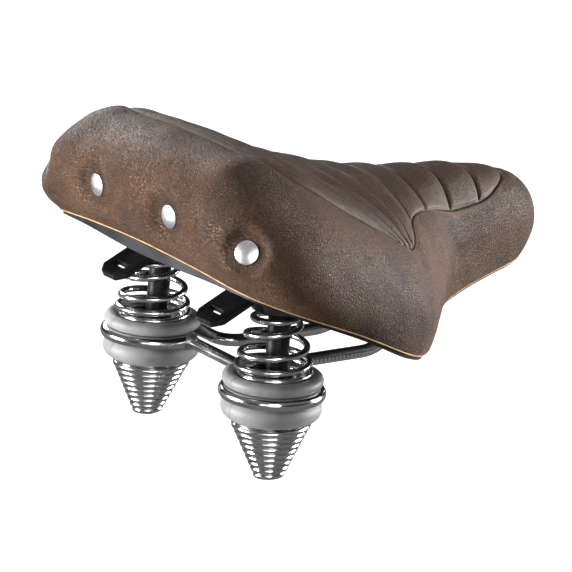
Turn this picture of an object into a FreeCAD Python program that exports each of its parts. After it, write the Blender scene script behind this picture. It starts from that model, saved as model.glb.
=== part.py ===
import FreeCAD, Part
import Sketcher
import math
import os

# Sprung comfort bicycle saddle.
# Frame: +X to the nose, +Y to the rider's left, +Z up, millimetres.
# Origin: midway between the two rails, on their centre lines, at the middle of
# the straight length where a seatpost head clamps them.

os.makedirs("parts", exist_ok=True)
Vector, Placement, Rotation = FreeCAD.Vector, FreeCAD.Placement, FreeCAD.Rotation
UP = Vector(0, 0, 1)
SIDES = ((1, "left"), (-1, "right"))
doc = FreeCAD.newDocument("sprung_saddle")

# ---------------------------------------------------------------- dimensions
sheet = doc.addObject("Spreadsheet::Sheet", "dims")
DIMENSIONS = [
    # rails, nose bar, rings and brace
    ("rail_dia", 7.0), ("rail_gap", 44.0), ("rail_front_x", 30.0),
    ("rail_rear_bend", 12.0), ("rail_front_bend", 30.0),
    ("nose_bar_x", 112.0), ("nose_bar_z", 44.0), ("nose_bar_half", 14.0),
    ("nose_bar_bend", 8.0),
    ("ring_x", -60.0), ("ring_y", 57.0), ("ring_rad", 24.5), ("ring_sweep", 300.0),
    ("brace_x", -52.0), ("brace_dia", 6.6), ("collar_dia", 9.4), ("collar_len", 3.2),
    # elastomers: radii, then heights, bore radius and groove radius
    ("elast_bulge", 26.3), ("elast_neck", 21.4), ("elast_top", 10.2), ("elast_foot", -14.0),
    ("elast_bore", 18.8), ("elast_groove", 3.6),
    # springs
    ("wire_dia", 3.5), ("cone_tip_rad", 6.0), ("cone_tip_z", -45.7), ("cone_splay", 1.3),
    ("cone_top_rad", 19.5), ("cone_turns", 8.9),
    # posts, cups and bag-loop tabs
    ("post_dia", 12.0), ("post_peg_dia", 8.0), ("post_foot_z", -40.0), ("post_peg_len", 7.0),
    ("post_top_z", 49.0), ("post_lean", 2.0), ("post_bolt_hole", 5.0), ("post_bolt_depth", 16.0),
    ("cup_dia", 30.0), ("cup_foot_z", 43.5), ("cup_top_z", 51.8),
    ("tab_wide", 22.0), ("tab_thick", 3.2), ("tab_z", 48.6), ("tab_rear_x", -99.0),
    ("tab_bend_x", -72.0), ("tab_tilt", 26.0), ("tab_corner", 5.0),
    ("slot_long", 11.0), ("slot_wide", 3.2), ("slot_x", -90.0), ("slot_y", 45.5),
    # bolts and washers
    ("bolt_dia", 5.0), ("bolt_head_dia", 9.0), ("bolt_head_high", 4.0), ("bolt_hex", 4.0),
    ("washer_dia", 14.0), ("washer_thick", 1.5),
    # base and nose clamp
    ("pillar_dia", 22.0), ("base_wall", 2.8),
    ("block_long", 34.0), ("block_wide", 12.4), ("clamp_z", 38.6),
    ("clamp_screw_dia", 4.0), ("clamp_screw_pitch", 24.0), ("clamp_screw_head", 7.5),
    # cover, rivets, bead and clearances
    ("cover_thick", 1.5), ("layer_gap", 0.6),
    ("rivet_head", 12.0), ("rivet_dome", 1.6), ("rivet_shank", 3.6), ("rivet_len", 7.0),
    ("burr_dia", 9.0), ("burr_thick", 0.8), ("dimple_deep", 4.6), ("dimple_rad", 17.0),
    ("bead_dia", 1.3), ("run_gap", 0.05), ("hole_gap", 0.2),
]
for row, (alias, value) in enumerate(DIMENSIONS, 1):
    sheet.set("A%d" % row, alias)
    sheet.set("B%d" % row, "%g" % value)
    sheet.setAlias("B%d" % row, alias)
doc.recompute()
dims = dict((alias, float(sheet.get(alias))) for alias, _ in DIMENSIONS)

PARTS = []  # (object, name of its file)


# ------------------------------------------------------------ document helpers
def export_part(obj, name):
    """Label an object and list it for export."""
    obj.Label = name
    PARTS.append((obj, name))


def bind(obj, **expressions):
    for prop, expression in expressions.items():
        obj.setExpression(prop, expression)


def shape_object(name, shape):
    obj = doc.addObject("Part::Feature", name)
    obj.Shape = shape
    return obj


def shape_part(name, shape):
    export_part(shape_object(name, shape), name)


def facing(base, axis):
    """Placement at base whose z runs along axis."""
    return Placement(base, Rotation(UP, axis))


def sketch_on(body, name, role):
    """Sketch on one of the body's origin planes."""
    plane = [f for f in body.Origin.OriginFeatures if f.Role == role][0]
    sketch = body.newObject("Sketcher::SketchObject", name)
    sketch.AttachmentSupport = [(plane, "")]
    sketch.MapMode = "FlatFace"
    return sketch


def line(start, end):
    return Part.LineSegment(Vector(start[0], start[1], 0), Vector(end[0], end[1], 0))


def circle(x, y, radius):
    return Part.Circle(Vector(x, y, 0), UP, radius)


def add_all(sketch, items):
    for item in items:
        sketch.addGeometry(item, False)


def polygon_sketch(body, name, points):
    sketch = sketch_on(body, name, "XY_Plane")
    add_all(sketch, [line(a, b) for a, b in zip(points, points[1:] + points[:1])])
    return sketch


def disc_sketch(body, name, alias, height=0.0):
    """Circle whose diameter is driven by the sheet, at a height above XY."""
    sketch = sketch_on(body, name, "XY_Plane")
    sketch.addGeometry(circle(0, 0, dims[alias] / 2), False)
    index = sketch.addConstraint(Sketcher.Constraint("Diameter", 0, dims[alias]))
    sketch.renameConstraint(index, "dia")
    sketch.setExpression("Constraints.dia", "dims." + alias)
    sketch.AttachmentOffset = Placement(Vector(0, 0, height), Rotation())
    return sketch


def pad(body, name, sketch, length):
    """Pad by a number or by an expression."""
    made = body.newObject("PartDesign::Pad", name)
    made.Profile = sketch
    if isinstance(length, str):
        made.setExpression("Length", length)
    else:
        made.Length = length
    doc.recompute()
    return made


def pocket(body, name, sketch, before, least, depth=None):
    """Pocket to a depth, or right through; turned round if it cuts less than least."""
    made = body.newObject("PartDesign::Pocket", name)
    made.Profile = sketch
    if depth is None:
        made.Type = 1
        made.Midplane = True
    else:
        made.Length = depth
    doc.recompute()
    if made.Shape.Volume > before.Shape.Volume - least:
        made.Midplane = False
        made.Reversed = True
        doc.recompute()
    return made


def revolve(body, name, sketch):
    """Full turn about the sketch's vertical axis."""
    made = body.newObject("PartDesign::Revolution", name)
    made.Profile = sketch
    made.ReferenceAxis = (sketch, ["V_Axis"])
    made.Angle = 360


def fillet_uprights(body, name, base, radius, wanted):
    """Round the edges along Z whose foot point passes the wanted test."""
    names = []
    for number, edge in enumerate(base.Shape.Edges, 1):
        ends = [v.Point for v in edge.Vertexes]
        if (len(ends) == 2 and abs(ends[0].x - ends[1].x) < 1e-6
                and abs(ends[0].y - ends[1].y) < 1e-6 and wanted(ends[0])):
            names.append("Edge%d" % number)
    made = body.newObject("PartDesign::Fillet", name)
    made.Base = (base, names)
    made.Radius = radius
    doc.recompute()


# ------------------------------------------------------------ saddle surface
# Half of the saddle (Y >= 0) is a patch over (loop, rise). Loop runs 0 to 1
# round the plan outline from the rear centre to the nose tip. Rise runs from 0
# on the centre line over the crown to 1 on the widest line, and down the skirt
# to 2 on the cover's edge.
STATION_COLUMNS = ("wide_x", "wide_y", "wide_z", "edge_x", "edge_y", "edge_z",
                   "spine_x", "crown_power", "crown_root")
STATIONS = [
    (-119, 0, 96, -108, 0, 71, -67, 4.5, 2),
    (-118.2, 30, 95, -107.2, 31, 70, -66, 4.5, 1.9),
    (-116.8, 63, 91, -105.6, 61, 68, -64, 4.5, 1.6),
    (-110.5, 96, 83, -100, 92, 64, -60, 3.6, 1.5),
    (-90, 114, 74, -81, 109, 57, -53, 3, 1.7),
    (-54, 118, 63, -49, 113, 45, -40, 2.8, 2.1),
    (-20, 113, 52, -20, 109, 32, -24, 2.6, 2.0),
    (9, 99, 45, 7, 95, 21.5, -6, 2.4, 2.0),
    (29, 76, 46, 27, 74, 20.5, 10, 2.2, 2.0),
    (47, 54, 50, 44, 54, 23.5, 28, 2.2, 2.0),
    (68, 38, 56, 66, 38, 27.5, 52, 2.2, 2.0),
    (94, 31, 60, 93, 29, 33.5, 82, 2.3, 2.0),
    (121, 26, 61, 118, 23, 38, 104, 2.4, 2.0),
    (141, 16, 59, 135, 14, 40, 114, 2.4, 2.0),
    (149.5, 0, 57, 143, 0, 42, 118, 2.4, 2.0),
]
# height of the crown along X
CROWN_X = [-125, -110, -100, -88, -76, -60, -45, -30, -10, 11, 31, 52, 74, 96, 118, 130]
CROWN_Z = [124, 126, 127, 127, 126.5, 122.5, 115, 109, 103, 99.5, 97.5, 96.5, 95.5, 92.5, 88, 84]
# height of the base's centre line along X
DOME_X = [-125, -100, -60, 0, 50, 100, 130, 150]
DOME_Z = [80, 80, 73, 62, 58, 58, 55, 50]
# low mounds on the crown, one each side at the rear
MOUND_X, MOUND_Y, MOUND_HIGH = -90, 66, 5
MOUND_LONG, MOUND_WIDE, MOUND_FADE = 25, 18, 30


class NaturalSpline:
    """Natural cubic spline through scalar knots."""

    def __init__(self, xs, ys):
        count = len(xs)
        self.x, self.y = list(xs), list(ys)
        gaps = [xs[i + 1] - xs[i] for i in range(count - 1)]
        ratio, solved = [0.0] * count, [0.0] * count
        for i in range(1, count - 1):
            bend = 3 * (ys[i + 1] - ys[i]) / gaps[i] - 3 * (ys[i] - ys[i - 1]) / gaps[i - 1]
            pivot = 2 * (xs[i + 1] - xs[i - 1]) - gaps[i - 1] * ratio[i - 1]
            ratio[i] = gaps[i] / pivot
            solved[i] = (bend - gaps[i - 1] * solved[i - 1]) / pivot
        self.first, self.second, self.third = [0.0] * count, [0.0] * count, [0.0] * count
        for j in range(count - 2, -1, -1):
            second = solved[j] - ratio[j] * self.second[j + 1]
            self.second[j] = second
            self.first[j] = ((ys[j + 1] - ys[j]) / gaps[j]
                             - gaps[j] * (self.second[j + 1] + 2 * second) / 3)
            self.third[j] = (self.second[j + 1] - second) / (3 * gaps[j])

    def __call__(self, at):
        j = 0
        while j < len(self.x) - 2 and at > self.x[j + 1]:
            j += 1
        step = at - self.x[j]
        return self.y[j] + step * (self.first[j] + step * (self.second[j] + step * self.third[j]))


class MonotoneSpline:
    """Cubic through scalar knots that never overshoots them; flat beyond the ends."""

    def __init__(self, xs, ys):
        count = len(xs)
        self.x, self.y = list(map(float, xs)), list(map(float, ys))
        gaps = [self.x[i + 1] - self.x[i] for i in range(count - 1)]
        rates = [(self.y[i + 1] - self.y[i]) / gaps[i] for i in range(count - 1)]
        slopes = [rates[0]] + [0.0] * (count - 2) + [rates[-1]]
        for i in range(1, count - 1):
            if rates[i - 1] * rates[i] > 0:
                left, right = 2 * gaps[i] + gaps[i - 1], gaps[i] + 2 * gaps[i - 1]
                slopes[i] = (left + right) / (left / rates[i - 1] + right / rates[i])
        self.slopes, self.gaps = slopes, gaps

    def __call__(self, at):
        at = min(max(at, self.x[0]), self.x[-1])
        j = 0
        while j < len(self.x) - 2 and at > self.x[j + 1]:
            j += 1
        gap, t = self.gaps[j], (at - self.x[j]) / self.gaps[j]
        return (self.y[j] * (1 + 2 * t) * (1 - t) ** 2 + self.slopes[j] * gap * t * (1 - t) ** 2
                + self.y[j + 1] * t * t * (3 - 2 * t) + self.slopes[j + 1] * gap * t * t * (t - 1))


crown_z = MonotoneSpline(CROWN_X, CROWN_Z)
dome_z = MonotoneSpline(DOME_X, DOME_Z)


def station_splines():
    """One spline per column, run on past both ends by mirrored stations."""
    travel = [0.0]
    for last, this in zip(STATIONS, STATIONS[1:]):
        travel.append(travel[-1] + math.sqrt(sum((last[k] - this[k]) ** 2 for k in range(3))))
    loops = [distance / travel[-1] for distance in travel]
    knots = [-loops[j] for j in (3, 2, 1)] + loops + [2 - loops[-j] for j in (2, 3, 4)]
    rows = [STATIONS[j] for j in (3, 2, 1)] + STATIONS + [STATIONS[-j] for j in (2, 3, 4)]
    splines = {}
    for column, name in enumerate(STATION_COLUMNS):
        values = [float(entry[column]) for entry in rows]
        if name in ("wide_y", "edge_y"):
            for j in (0, 1, 2, -3, -2, -1):
                values[j] = -values[j]
        if name == "spine_x":
            for j in (0, 1, 2):
                values[j] = 2 * values[3] - values[j]
            for j in (-1, -2, -3):
                values[j] = 2 * values[-4] - values[j]
        splines[name] = NaturalSpline(knots, values)
    return splines


STATION_SPLINES = station_splines()


def on_centre(loop):
    return loop <= 0 or loop >= 1


def station(loop):
    """Station values, by column name, at any place round the loop."""
    values = dict((name, spline(loop)) for name, spline in STATION_SPLINES.items())
    if on_centre(loop):
        values["wide_y"] = values["edge_y"] = 0.0
    return values


def smooth_point(loop, rise):
    """Point of the outer surface, without rivet dimples."""
    here = station(loop)
    wide_x, wide_y, wide_z = here["wide_x"], here["wide_y"], here["wide_z"]
    if rise > 1:
        down = rise - 1
        return Vector(wide_x + (here["edge_x"] - wide_x) * down * down,
                      wide_y + (here["edge_y"] - wide_y) * down * down,
                      wide_z + (here["edge_z"] - wide_z) * down)
    out = math.sin(rise * math.pi / 2)
    x, y = here["spine_x"] + (wide_x - here["spine_x"]) * out, wide_y * out
    height = max(0.0, 1 - out ** here["crown_power"]) ** (1 / here["crown_root"])
    z = wide_z + (crown_z(x) - wide_z) * height
    across = sum(math.exp(-((y - side * MOUND_Y) / MOUND_WIDE) ** 2) for side in (1, -1))
    along = math.exp(-((x - MOUND_X) / MOUND_LONG) ** 2)
    z += MOUND_HIGH * along * across * min(1, max(0, (z - wide_z) / MOUND_FADE))
    return Vector(x, y, z)


def unit(vector):
    made = Vector(vector)
    made.normalize()
    return made


def outward(loop, rise):
    """Outward normal of the smooth surface, exact on the centre plane."""
    step = 0.004
    rise = min(max(rise, 0.02), 2.0)
    if on_centre(loop):
        near = smooth_point(step if loop <= 0 else 1 - step, rise)
        far = Vector(near.x, -near.y, near.z)
        along = near - far if loop <= 0 else far - near
    else:
        along = (smooth_point(min(loop + step, 1), rise)
                 - smooth_point(max(loop - step, 0), rise))
    down = smooth_point(loop, min(rise + step, 2)) - smooth_point(loop, max(rise - step, 0))
    normal = unit(down.cross(along))
    if rise <= 1:
        inward = normal.z < 0
    else:
        here = station(loop)
        inward = normal.dot(Vector(here["wide_x"] - here["spine_x"], here["wide_y"], 0)) < 0
    if inward:
        normal = normal * -1
    if on_centre(loop):
        normal = unit(Vector(normal.x, 0, normal.z))
    return normal


# -------------------------------------------------------------- rivet places
RIVET_TARGETS = [Vector(-118, 34.5, 92), Vector(-108, 95.5, 89)]  # left side


def nearest(target):
    """Loop and rise, on a grid over the rear, of the point nearest to a target."""
    grid = [(0.62 * i / 60.0, j / 25.0) for i in range(61) for j in range(10, 46)]
    return min(grid, key=lambda place: (smooth_point(*place) - target).Length)


RIVETS = []  # (seat, outward normal) on both sides
for target in RIVET_TARGETS:
    place = nearest(target)
    normal = outward(*place)
    seat = smooth_point(*place) - normal * dims["dimple_deep"]
    for side, _ in SIDES:
        RIVETS.append((Vector(seat.x, side * seat.y, seat.z),
                       Vector(normal.x, side * normal.y, normal.z)))
RIVET_PLACES = [facing(seat, normal) for seat, normal in RIVETS]


def dimpled_point(loop, rise):
    """Outer surface with a flat-bottomed dimple under each rivet head."""
    flat, rim = dims["rivet_head"] / 2 + 1.0, dims["dimple_rad"]
    spot = smooth_point(loop, rise)
    for seat, normal in RIVETS:
        offset = spot - seat
        height = offset.dot(normal)
        if height < -2 or height > 30:
            continue
        radius = math.sqrt(max(0.0, offset.dot(offset) - height * height))
        if radius >= rim:
            continue
        sink = 1.0 if radius <= flat else 1 - (radius - flat) / (rim - flat)
        sink = sink * sink * (3 - 2 * sink)
        spot = spot + normal * (-height * sink)
    return spot


def layer_point(loop, rise, depth):
    """Point a given depth below the dimpled outer surface."""
    normal = outward(loop, rise)
    if rise <= 0:
        normal = unit(Vector(normal.x, 0, normal.z))
    spot = dimpled_point(loop, rise) - normal * depth
    if on_centre(loop) or rise <= 0:
        spot.y = 0.0
    return spot


# ------------------------------------------------------------ surface building
# loop stations, closer together round the back where the dimples are
LOOPS = [0.34 * i / 40.0 for i in range(41)] + [0.34 + 0.66 * i / 30.0 for i in range(1, 31)]


def spline_poles(knots, values, ends):
    """Poles of the C2 cubic through scalar values. Ends are "level" (no slope),
    "straight" (no curvature) or "free" (slope of the cubic through the last four)."""
    count = len(knots)
    gaps = [knots[i + 1] - knots[i] for i in range(count - 1)]
    # tridiagonal system for the slopes
    lower, middle, upper, right = [0.0] * count, [1.0] * count, [0.0] * count, [0.0] * count
    for i in range(1, count - 1):
        lower[i], middle[i], upper[i] = gaps[i], 2 * (gaps[i - 1] + gaps[i]), gaps[i - 1]
        right[i] = 3 * (gaps[i - 1] * (values[i + 1] - values[i]) / gaps[i]
                        + gaps[i] * (values[i] - values[i - 1]) / gaps[i - 1])

    def end_slope(near, heights):
        total = 0.0
        for j in range(4):
            if j == 0:
                weight = sum(1.0 / (near[0] - near[k]) for k in (1, 2, 3))
            else:
                weight = 1.0 / (near[j] - near[0])
                for k in (1, 2, 3):
                    if k != j:
                        weight *= (near[0] - near[k]) / (near[j] - near[k])
            total += weight * heights[j]
        return total

    if ends == "straight":
        middle[0], upper[0], right[0] = 2.0, 1.0, 3 * (values[1] - values[0]) / gaps[0]
        middle[-1], lower[-1], right[-1] = 2.0, 1.0, 3 * (values[-1] - values[-2]) / gaps[-1]
    elif ends == "free":
        right[0] = end_slope(knots[:4], values[:4])
        right[-1] = end_slope(knots[::-1][:4], values[::-1][:4])
    for i in range(1, count):
        factor = lower[i] / middle[i - 1]
        middle[i] -= factor * upper[i - 1]
        right[i] -= factor * right[i - 1]
    slopes = [0.0] * count
    slopes[-1] = right[-1] / middle[-1]
    for i in range(count - 2, -1, -1):
        slopes[i] = (right[i] - upper[i] * slopes[i + 1]) / middle[i]
    poles = [values[0], values[0] + slopes[0] * gaps[0] / 3]
    for k in range(1, count - 1):
        curvature = 2 / gaps[k] * (3 * (values[k + 1] - values[k]) / gaps[k]
                                   - 2 * slopes[k] - slopes[k + 1])
        poles.append(values[k] + slopes[k] * (gaps[k] - gaps[k - 1]) / 3
                     - curvature * gaps[k - 1] * gaps[k] / 6)
    return poles + [values[-1] - slopes[-1] * gaps[-1] / 3, values[-1]]


def loop_poles(points):
    """Poles along the loop: x and z level at both ends, y crossing straight."""
    return list(zip(spline_poles(LOOPS, [p.x for p in points], "level"),
                    spline_poles(LOOPS, [p.y for p in points], "straight"),
                    spline_poles(LOOPS, [p.z for p in points], "level")))


def multiplicities(knots):
    return [4] + [1] * (len(knots) - 2) + [4]


def patch(rows):
    """Face through one row of points per loop station, smooth across the centre plane."""
    count = len(rows[0])
    knots = [0.0]
    for j in range(1, count):
        knots.append(knots[-1] + sum((points[j] - points[j - 1]).Length for points in rows))
    knots = [knot / knots[-1] for knot in knots]
    columns = [loop_poles([points[j] for points in rows]) for j in range(count)]
    grid = []
    for i in range(len(columns[0])):
        channels = [spline_poles(knots, [column[i][k] for column in columns], "free")
                    for k in range(3)]
        grid.append([Vector(*pole) for pole in zip(*channels)])
    surface = Part.BSplineSurface()
    surface.buildFromPolesMultsKnots(grid, multiplicities(LOOPS), multiplicities(knots),
                                     list(LOOPS), knots, False, False, 3, 3)
    return surface.toShape()


def loop_curve(points):
    made = Part.BSplineCurve()
    made.buildFromPolesMultsKnots([Vector(*pole) for pole in loop_poles(points)],
                                  multiplicities(LOOPS), list(LOOPS), False, 3)
    return made.toShape()


def loop_edges(face):
    """Edges of a half patch that run round the loop, off the centre plane, shortest first."""
    off = [e for e in face.Edges if max(abs(p.y) for p in e.discretize(5)) > 1e-3]
    return sorted(off, key=lambda e: e.Length)


def rim_of(face):
    return loop_edges(face)[-1]


def strip(first, second):
    """Ruled face between two edges that run round the loop."""
    made = [Part.makeRuledSurface(first, second, way).Faces[0] for way in (1, 2)]
    return min(made, key=lambda face: face.Area)


def mirrored_solid(faces):
    """Sew half-shell faces to their mirror images across the centre plane."""
    images = [face.mirror(Vector(0, 0, 0), Vector(0, 1, 0)) for face in faces]
    shell = Part.makeShell(list(faces) + images)
    shell.sewShape(1e-4)
    solid = Part.makeSolid(max(shell.Shells, key=lambda part: part.Area))
    if solid.Volume < 0:
        solid.reverse()
    if not solid.isValid():
        solid.fix(1e-5, 1e-5, 1e-5)
    return solid


def single(shape):
    return shape.Solids[0] if len(shape.Solids) == 1 else shape


# --------------------------------------------------- edge line and arched base
SHOULDER = 4.0  # the base's arch springs this far above the cover's edge
ARCH_POWER = 2.4
INSET = dims["cover_thick"] + 0.6  # base outside, in from the cover's edge
# stations across the arch, 0 on the centre line and 1 at the edge
REACHES = [0, 0.08, 0.16, 0.26, 0.36, 0.46, 0.56, 0.66, 0.75, 0.83, 0.9, 0.96, 1.0]


def edge_point(loop, inward, lift=0.0):
    """Cover edge moved inward in plan, and up."""
    step = 0.003
    here = station(loop)
    if loop <= 0:
        in_x, in_y = 1.0, 0.0
    elif loop >= 1:
        in_x, in_y = -1.0, 0.0
    else:
        before, after = station(max(loop - step, 0)), station(min(loop + step, 1))
        along_x = after["edge_x"] - before["edge_x"]
        along_y = after["edge_y"] - before["edge_y"]
        length = math.hypot(along_x, along_y) or 1.0
        in_x, in_y = along_y / length, -along_x / length
    return Vector(here["edge_x"] + in_x * inward, here["edge_y"] + in_y * inward,
                  here["edge_z"] + lift)


def skirt_drop(loop):
    """How far the base shows below the cover: deepest at the rear centre."""
    here = station(loop)
    if here["edge_x"] > -40:
        return 3.0
    nearness = min(1.0, max(0.0, 1 - abs(here["edge_y"]) / 95.0))
    return 3.0 + 5.5 * nearness * nearness * (3 - 2 * nearness)


def skirt_curve(inset):
    """Lower edge of the base's skirt."""
    return loop_curve([edge_point(loop, inset, -skirt_drop(loop)) for loop in LOOPS])


def dome_point(loop, reach, inset, lift):
    """Arch from the centre line out to the cover's edge."""
    spine_x = station(loop)["spine_x"]
    edge = edge_point(loop, inset)
    x = spine_x + (edge.x - spine_x) * reach
    low = edge.z + SHOULDER
    z = low + (dome_z(x) - low) * (1 - reach ** ARCH_POWER) + lift
    return Vector(x, edge.y * reach, z)


def dome_patch(inset, lift, spread=1.0):
    return patch([[dome_point(loop, reach * spread, inset, lift) for reach in REACHES]
                  for loop in LOOPS])


# ------------------------------------------------------- axes of the two posts
AXIS_FOOT_Z = -47.0  # each post's frame starts here on its axis


def post_frame(side, along=0.0):
    """Frame of a post: z runs up its axis, which leans to the nose and the centre."""
    splay = dims["cone_splay"]
    foot = Vector(dims["ring_x"], side * (dims["ring_y"] + splay), AXIS_FOOT_Z)
    axis = unit(Vector(math.tan(math.radians(dims["post_lean"])), side * splay / AXIS_FOOT_Z, 1.0))
    return facing(foot + axis * along, axis)


def post_axis(side):
    return post_frame(side).Rotation.multVec(UP)


def post_point(side, z):
    """Point of a post's axis at a height."""
    axis, foot = post_axis(side), post_frame(side).Base
    return foot + axis * ((z - foot.z) / axis.z)


def post_travel(z):
    """Distance along a post's axis from its frame to a height."""
    return (z - AXIS_FOOT_Z) / post_axis(1).z


def cylinder(radius, length, placement=None, start=0.0):
    """Cylinder along the z of a placement, from a start height."""
    made = Part.makeCylinder(radius, length, Vector(0, 0, start), UP)
    if placement is not None:
        made.Placement = placement
    return made


# ------------------------------------------------------------------ the base
PILLAR_AXIS_Z = 52.0  # the pillars stand on the post axes at this height
PILLAR_TOP_Z = 70.0
PILLAR_GAP = 0.12  # between cup and pillar
BOLT_SEAT = post_travel(67.0)
SEAT_RAD = 8.2  # recess round washer and bolt head
BLOCK_HIGH = 9.0
RIB_X, RIB_Y, RIB_Z = -6.0, 13.0, 47.5
RIB_LONG, RIB_THICK, RIB_HIGH = 78.0, 2.2, 12.0
LENS_INSET = INSET + 0.4
NOSE_BAR = Vector(dims["nose_bar_x"], 0, dims["nose_bar_z"])
SCREW_XS = [NOSE_BAR.x + half * dims["clamp_screw_pitch"] for half in (-0.5, 0.5)]
BAR_SPACE_HALF = 30.0  # half length of the tool that clears the nose bar


def make_base():
    wall, gap = dims["base_wall"], dims["run_gap"]
    top = dome_patch(INSET, 0.0)
    under = dome_patch(INSET + wall, -wall)
    outer, inner = skirt_curve(INSET), skirt_curve(INSET + wall)
    base = mirrored_solid([top, under, strip(rim_of(top), outer),
                           strip(outer, inner), strip(inner, rim_of(under))])
    adds, cuts = [], []
    for side, _ in SIDES:
        centre, frame = post_point(side, PILLAR_AXIS_Z), post_frame(side)
        foot_z = dims["cup_top_z"] + PILLAR_GAP
        adds.append(Part.makeCylinder(dims["pillar_dia"] / 2, PILLAR_TOP_Z - foot_z,
                                      Vector(centre.x, centre.y, foot_z)))
        cuts.append(cylinder(dims["bolt_dia"] / 2 + 0.2, 60, frame, post_travel(48)))
        cuts.append(cylinder(SEAT_RAD, 30, frame, BOLT_SEAT))
    # block over the nose bar, with its bar groove and screw holes
    long, wide = dims["block_long"], dims["block_wide"]
    adds.append(Part.makeBox(long, wide, BLOCK_HIGH,
                             Vector(NOSE_BAR.x - long / 2, -wide / 2, NOSE_BAR.z + gap)))
    cuts.append(Part.makeCylinder(dims["rail_dia"] / 2 + gap, 2 * BAR_SPACE_HALF,
                                  NOSE_BAR - Vector(0, BAR_SPACE_HALF, 0), Vector(0, 1, 0)))
    for x in SCREW_XS:
        cuts.append(Part.makeCylinder(dims["clamp_screw_dia"] / 2 + 0.05, 8.2,
                                      Vector(x, 0, NOSE_BAR.z - 0.5)))
    # stiffening ribs under the dome
    for y in (-RIB_Y, RIB_Y):
        adds.append(Part.makeBox(RIB_LONG, RIB_THICK, RIB_HIGH,
                                 Vector(RIB_X, y - RIB_THICK / 2, RIB_Z)))
    # pillars, block and ribs all end inside the wall of the dome
    lens_top = dome_patch(LENS_INSET, -0.5)
    lens_low = dome_patch(LENS_INSET, -30.5)
    lens = mirrored_solid([lens_top, lens_low, strip(rim_of(lens_top), rim_of(lens_low))])
    for shape in adds:
        base = base.fuse(shape.common(lens))
    for shape in cuts:
        base = base.cut(shape)
    return single(base.removeSplitter())


shape_part("base_shell", make_base())

# ------------------------------------------------------------ cover and panel
# The ribbed top panel is its own piece, let into the cover.
# Its outline on the left half (x, y), from the rear centre to the nose end.
PANEL = [(-80, 0), (-80.5, 15), (-81, 33), (-81, 50), (-79, 62), (-74, 71), (-66, 78),
         (-56, 83), (-40, 87), (-13, 88.5), (0, 87.5), (8, 81), (14, 72), (23, 58), (34, 47),
         (48, 39), (58, 34.5), (68.5, 31.5), (80, 29), (91, 27), (102, 24), (110, 19.5),
         (118, 13), (122.5, 6), (124, 0)]
PANEL_GAP = 0.25
PANEL_SAMPLES = 300
# stations from the centre line (0) to the panel's outline (1)
PANEL_SPREAD = [0, 0.1, 0.22, 0.35, 0.5, 0.65, 0.78, 0.88, 0.95, 1.0]
# rises down the outer crown and the skirt, closer together near the dimples
OUTER_START = 0.74
OUTER_RISES = [0.79, 0.83, 0.87, 0.9, 0.93, 0.96, 1.0, 1.05, 1.11, 1.18, 1.26, 1.35, 1.45,
               1.56, 1.68, 1.8, 1.9, 2.0]


def panel_loop():
    """Smooth closed panel outline, left half then right half."""
    travel = [0.0]
    for last, this in zip(PANEL, PANEL[1:]):
        travel.append(travel[-1] + math.hypot(this[0] - last[0], this[1] - last[1]))
    end = travel[-1]
    knots = [-travel[2], -travel[1]] + travel + [2 * end - travel[-2], 2 * end - travel[-3]]
    mirrored = [(x, -y) for x, y in PANEL]
    points = mirrored[2:0:-1] + PANEL + mirrored[-2:-4:-1]
    at_x = NaturalSpline(knots, [x for x, y in points])
    at_y = NaturalSpline(knots, [y for x, y in points])
    places = [end * i / float(PANEL_SAMPLES) for i in range(PANEL_SAMPLES + 1)]
    half = [(at_x(place), max(0.0, at_y(place))) for place in places]
    return half + [(x, -y) for x, y in half[-2:0:-1]]


PANEL_LOOP = panel_loop()


def inside_panel(x, y):
    inside = False
    for (x0, y0), (x1, y1) in zip(PANEL_LOOP, PANEL_LOOP[1:] + PANEL_LOOP[:1]):
        if (y0 > y) != (y1 > y) and x < (x1 - x0) * (y - y0) / (y1 - y0) + x0:
            inside = not inside
    return inside


def panel_rise(loop, grow=0.0):
    """Rise at which the loop position meets the panel outline, plus a gap."""
    here = station(loop)
    run_x, run_y = here["wide_x"] - here["spine_x"], here["wide_y"]
    low, high = 0.0, 1.0
    for _ in range(30):
        out = (low + high) / 2
        if inside_panel(here["spine_x"] + run_x * out, run_y * out + 1e-4):
            low = out
        else:
            high = out
    out = (low + high) / 2 + grow / math.hypot(run_x, run_y)
    return math.asin(min(1.0, out)) * 2 / math.pi


def cover_rises(first):
    """Rises from the panel to the cover's edge."""
    if first < 0.7:
        return [first + (OUTER_START - first) * k / 6.0 for k in range(7)] + OUTER_RISES
    head = [first + 0.01 * k for k in range(7)]
    last = head[-1]
    return head + [last + (rise - OUTER_START) / (2 - OUTER_START) * (2 - last)
                   for rise in OUTER_RISES]


def layer_patch(depth, rises):
    """Face at a depth, with one list of rises per loop station."""
    return patch([[layer_point(loop, rise, depth) for rise in row]
                  for loop, row in zip(LOOPS, rises)])


def make_panel():
    rises = []
    for loop in LOOPS:
        limit = panel_rise(loop)
        rises.append([limit * share for share in PANEL_SPREAD])
    outer, inner = layer_patch(0.0, rises), layer_patch(dims["cover_thick"], rises)
    return single(mirrored_solid([outer, inner, strip(rim_of(outer), rim_of(inner))]))


def make_cover():
    rises = [cover_rises(panel_rise(loop, PANEL_GAP)) for loop in LOOPS]
    outer, inner = layer_patch(0.0, rises), layer_patch(dims["cover_thick"], rises)
    (outer_hole, outer_rim), (inner_hole, inner_rim) = loop_edges(outer), loop_edges(inner)
    cover = mirrored_solid([outer, inner, strip(outer_rim, inner_rim),
                            strip(outer_hole, inner_hole)])
    for placement in RIVET_PLACES:
        cover = cover.cut(cylinder(dims["rivet_shank"] / 2 + 0.1, 8, placement, -6))
    return single(cover)


shape_part("cover", make_cover())
shape_part("ribbed_top_panel", make_panel())

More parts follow.
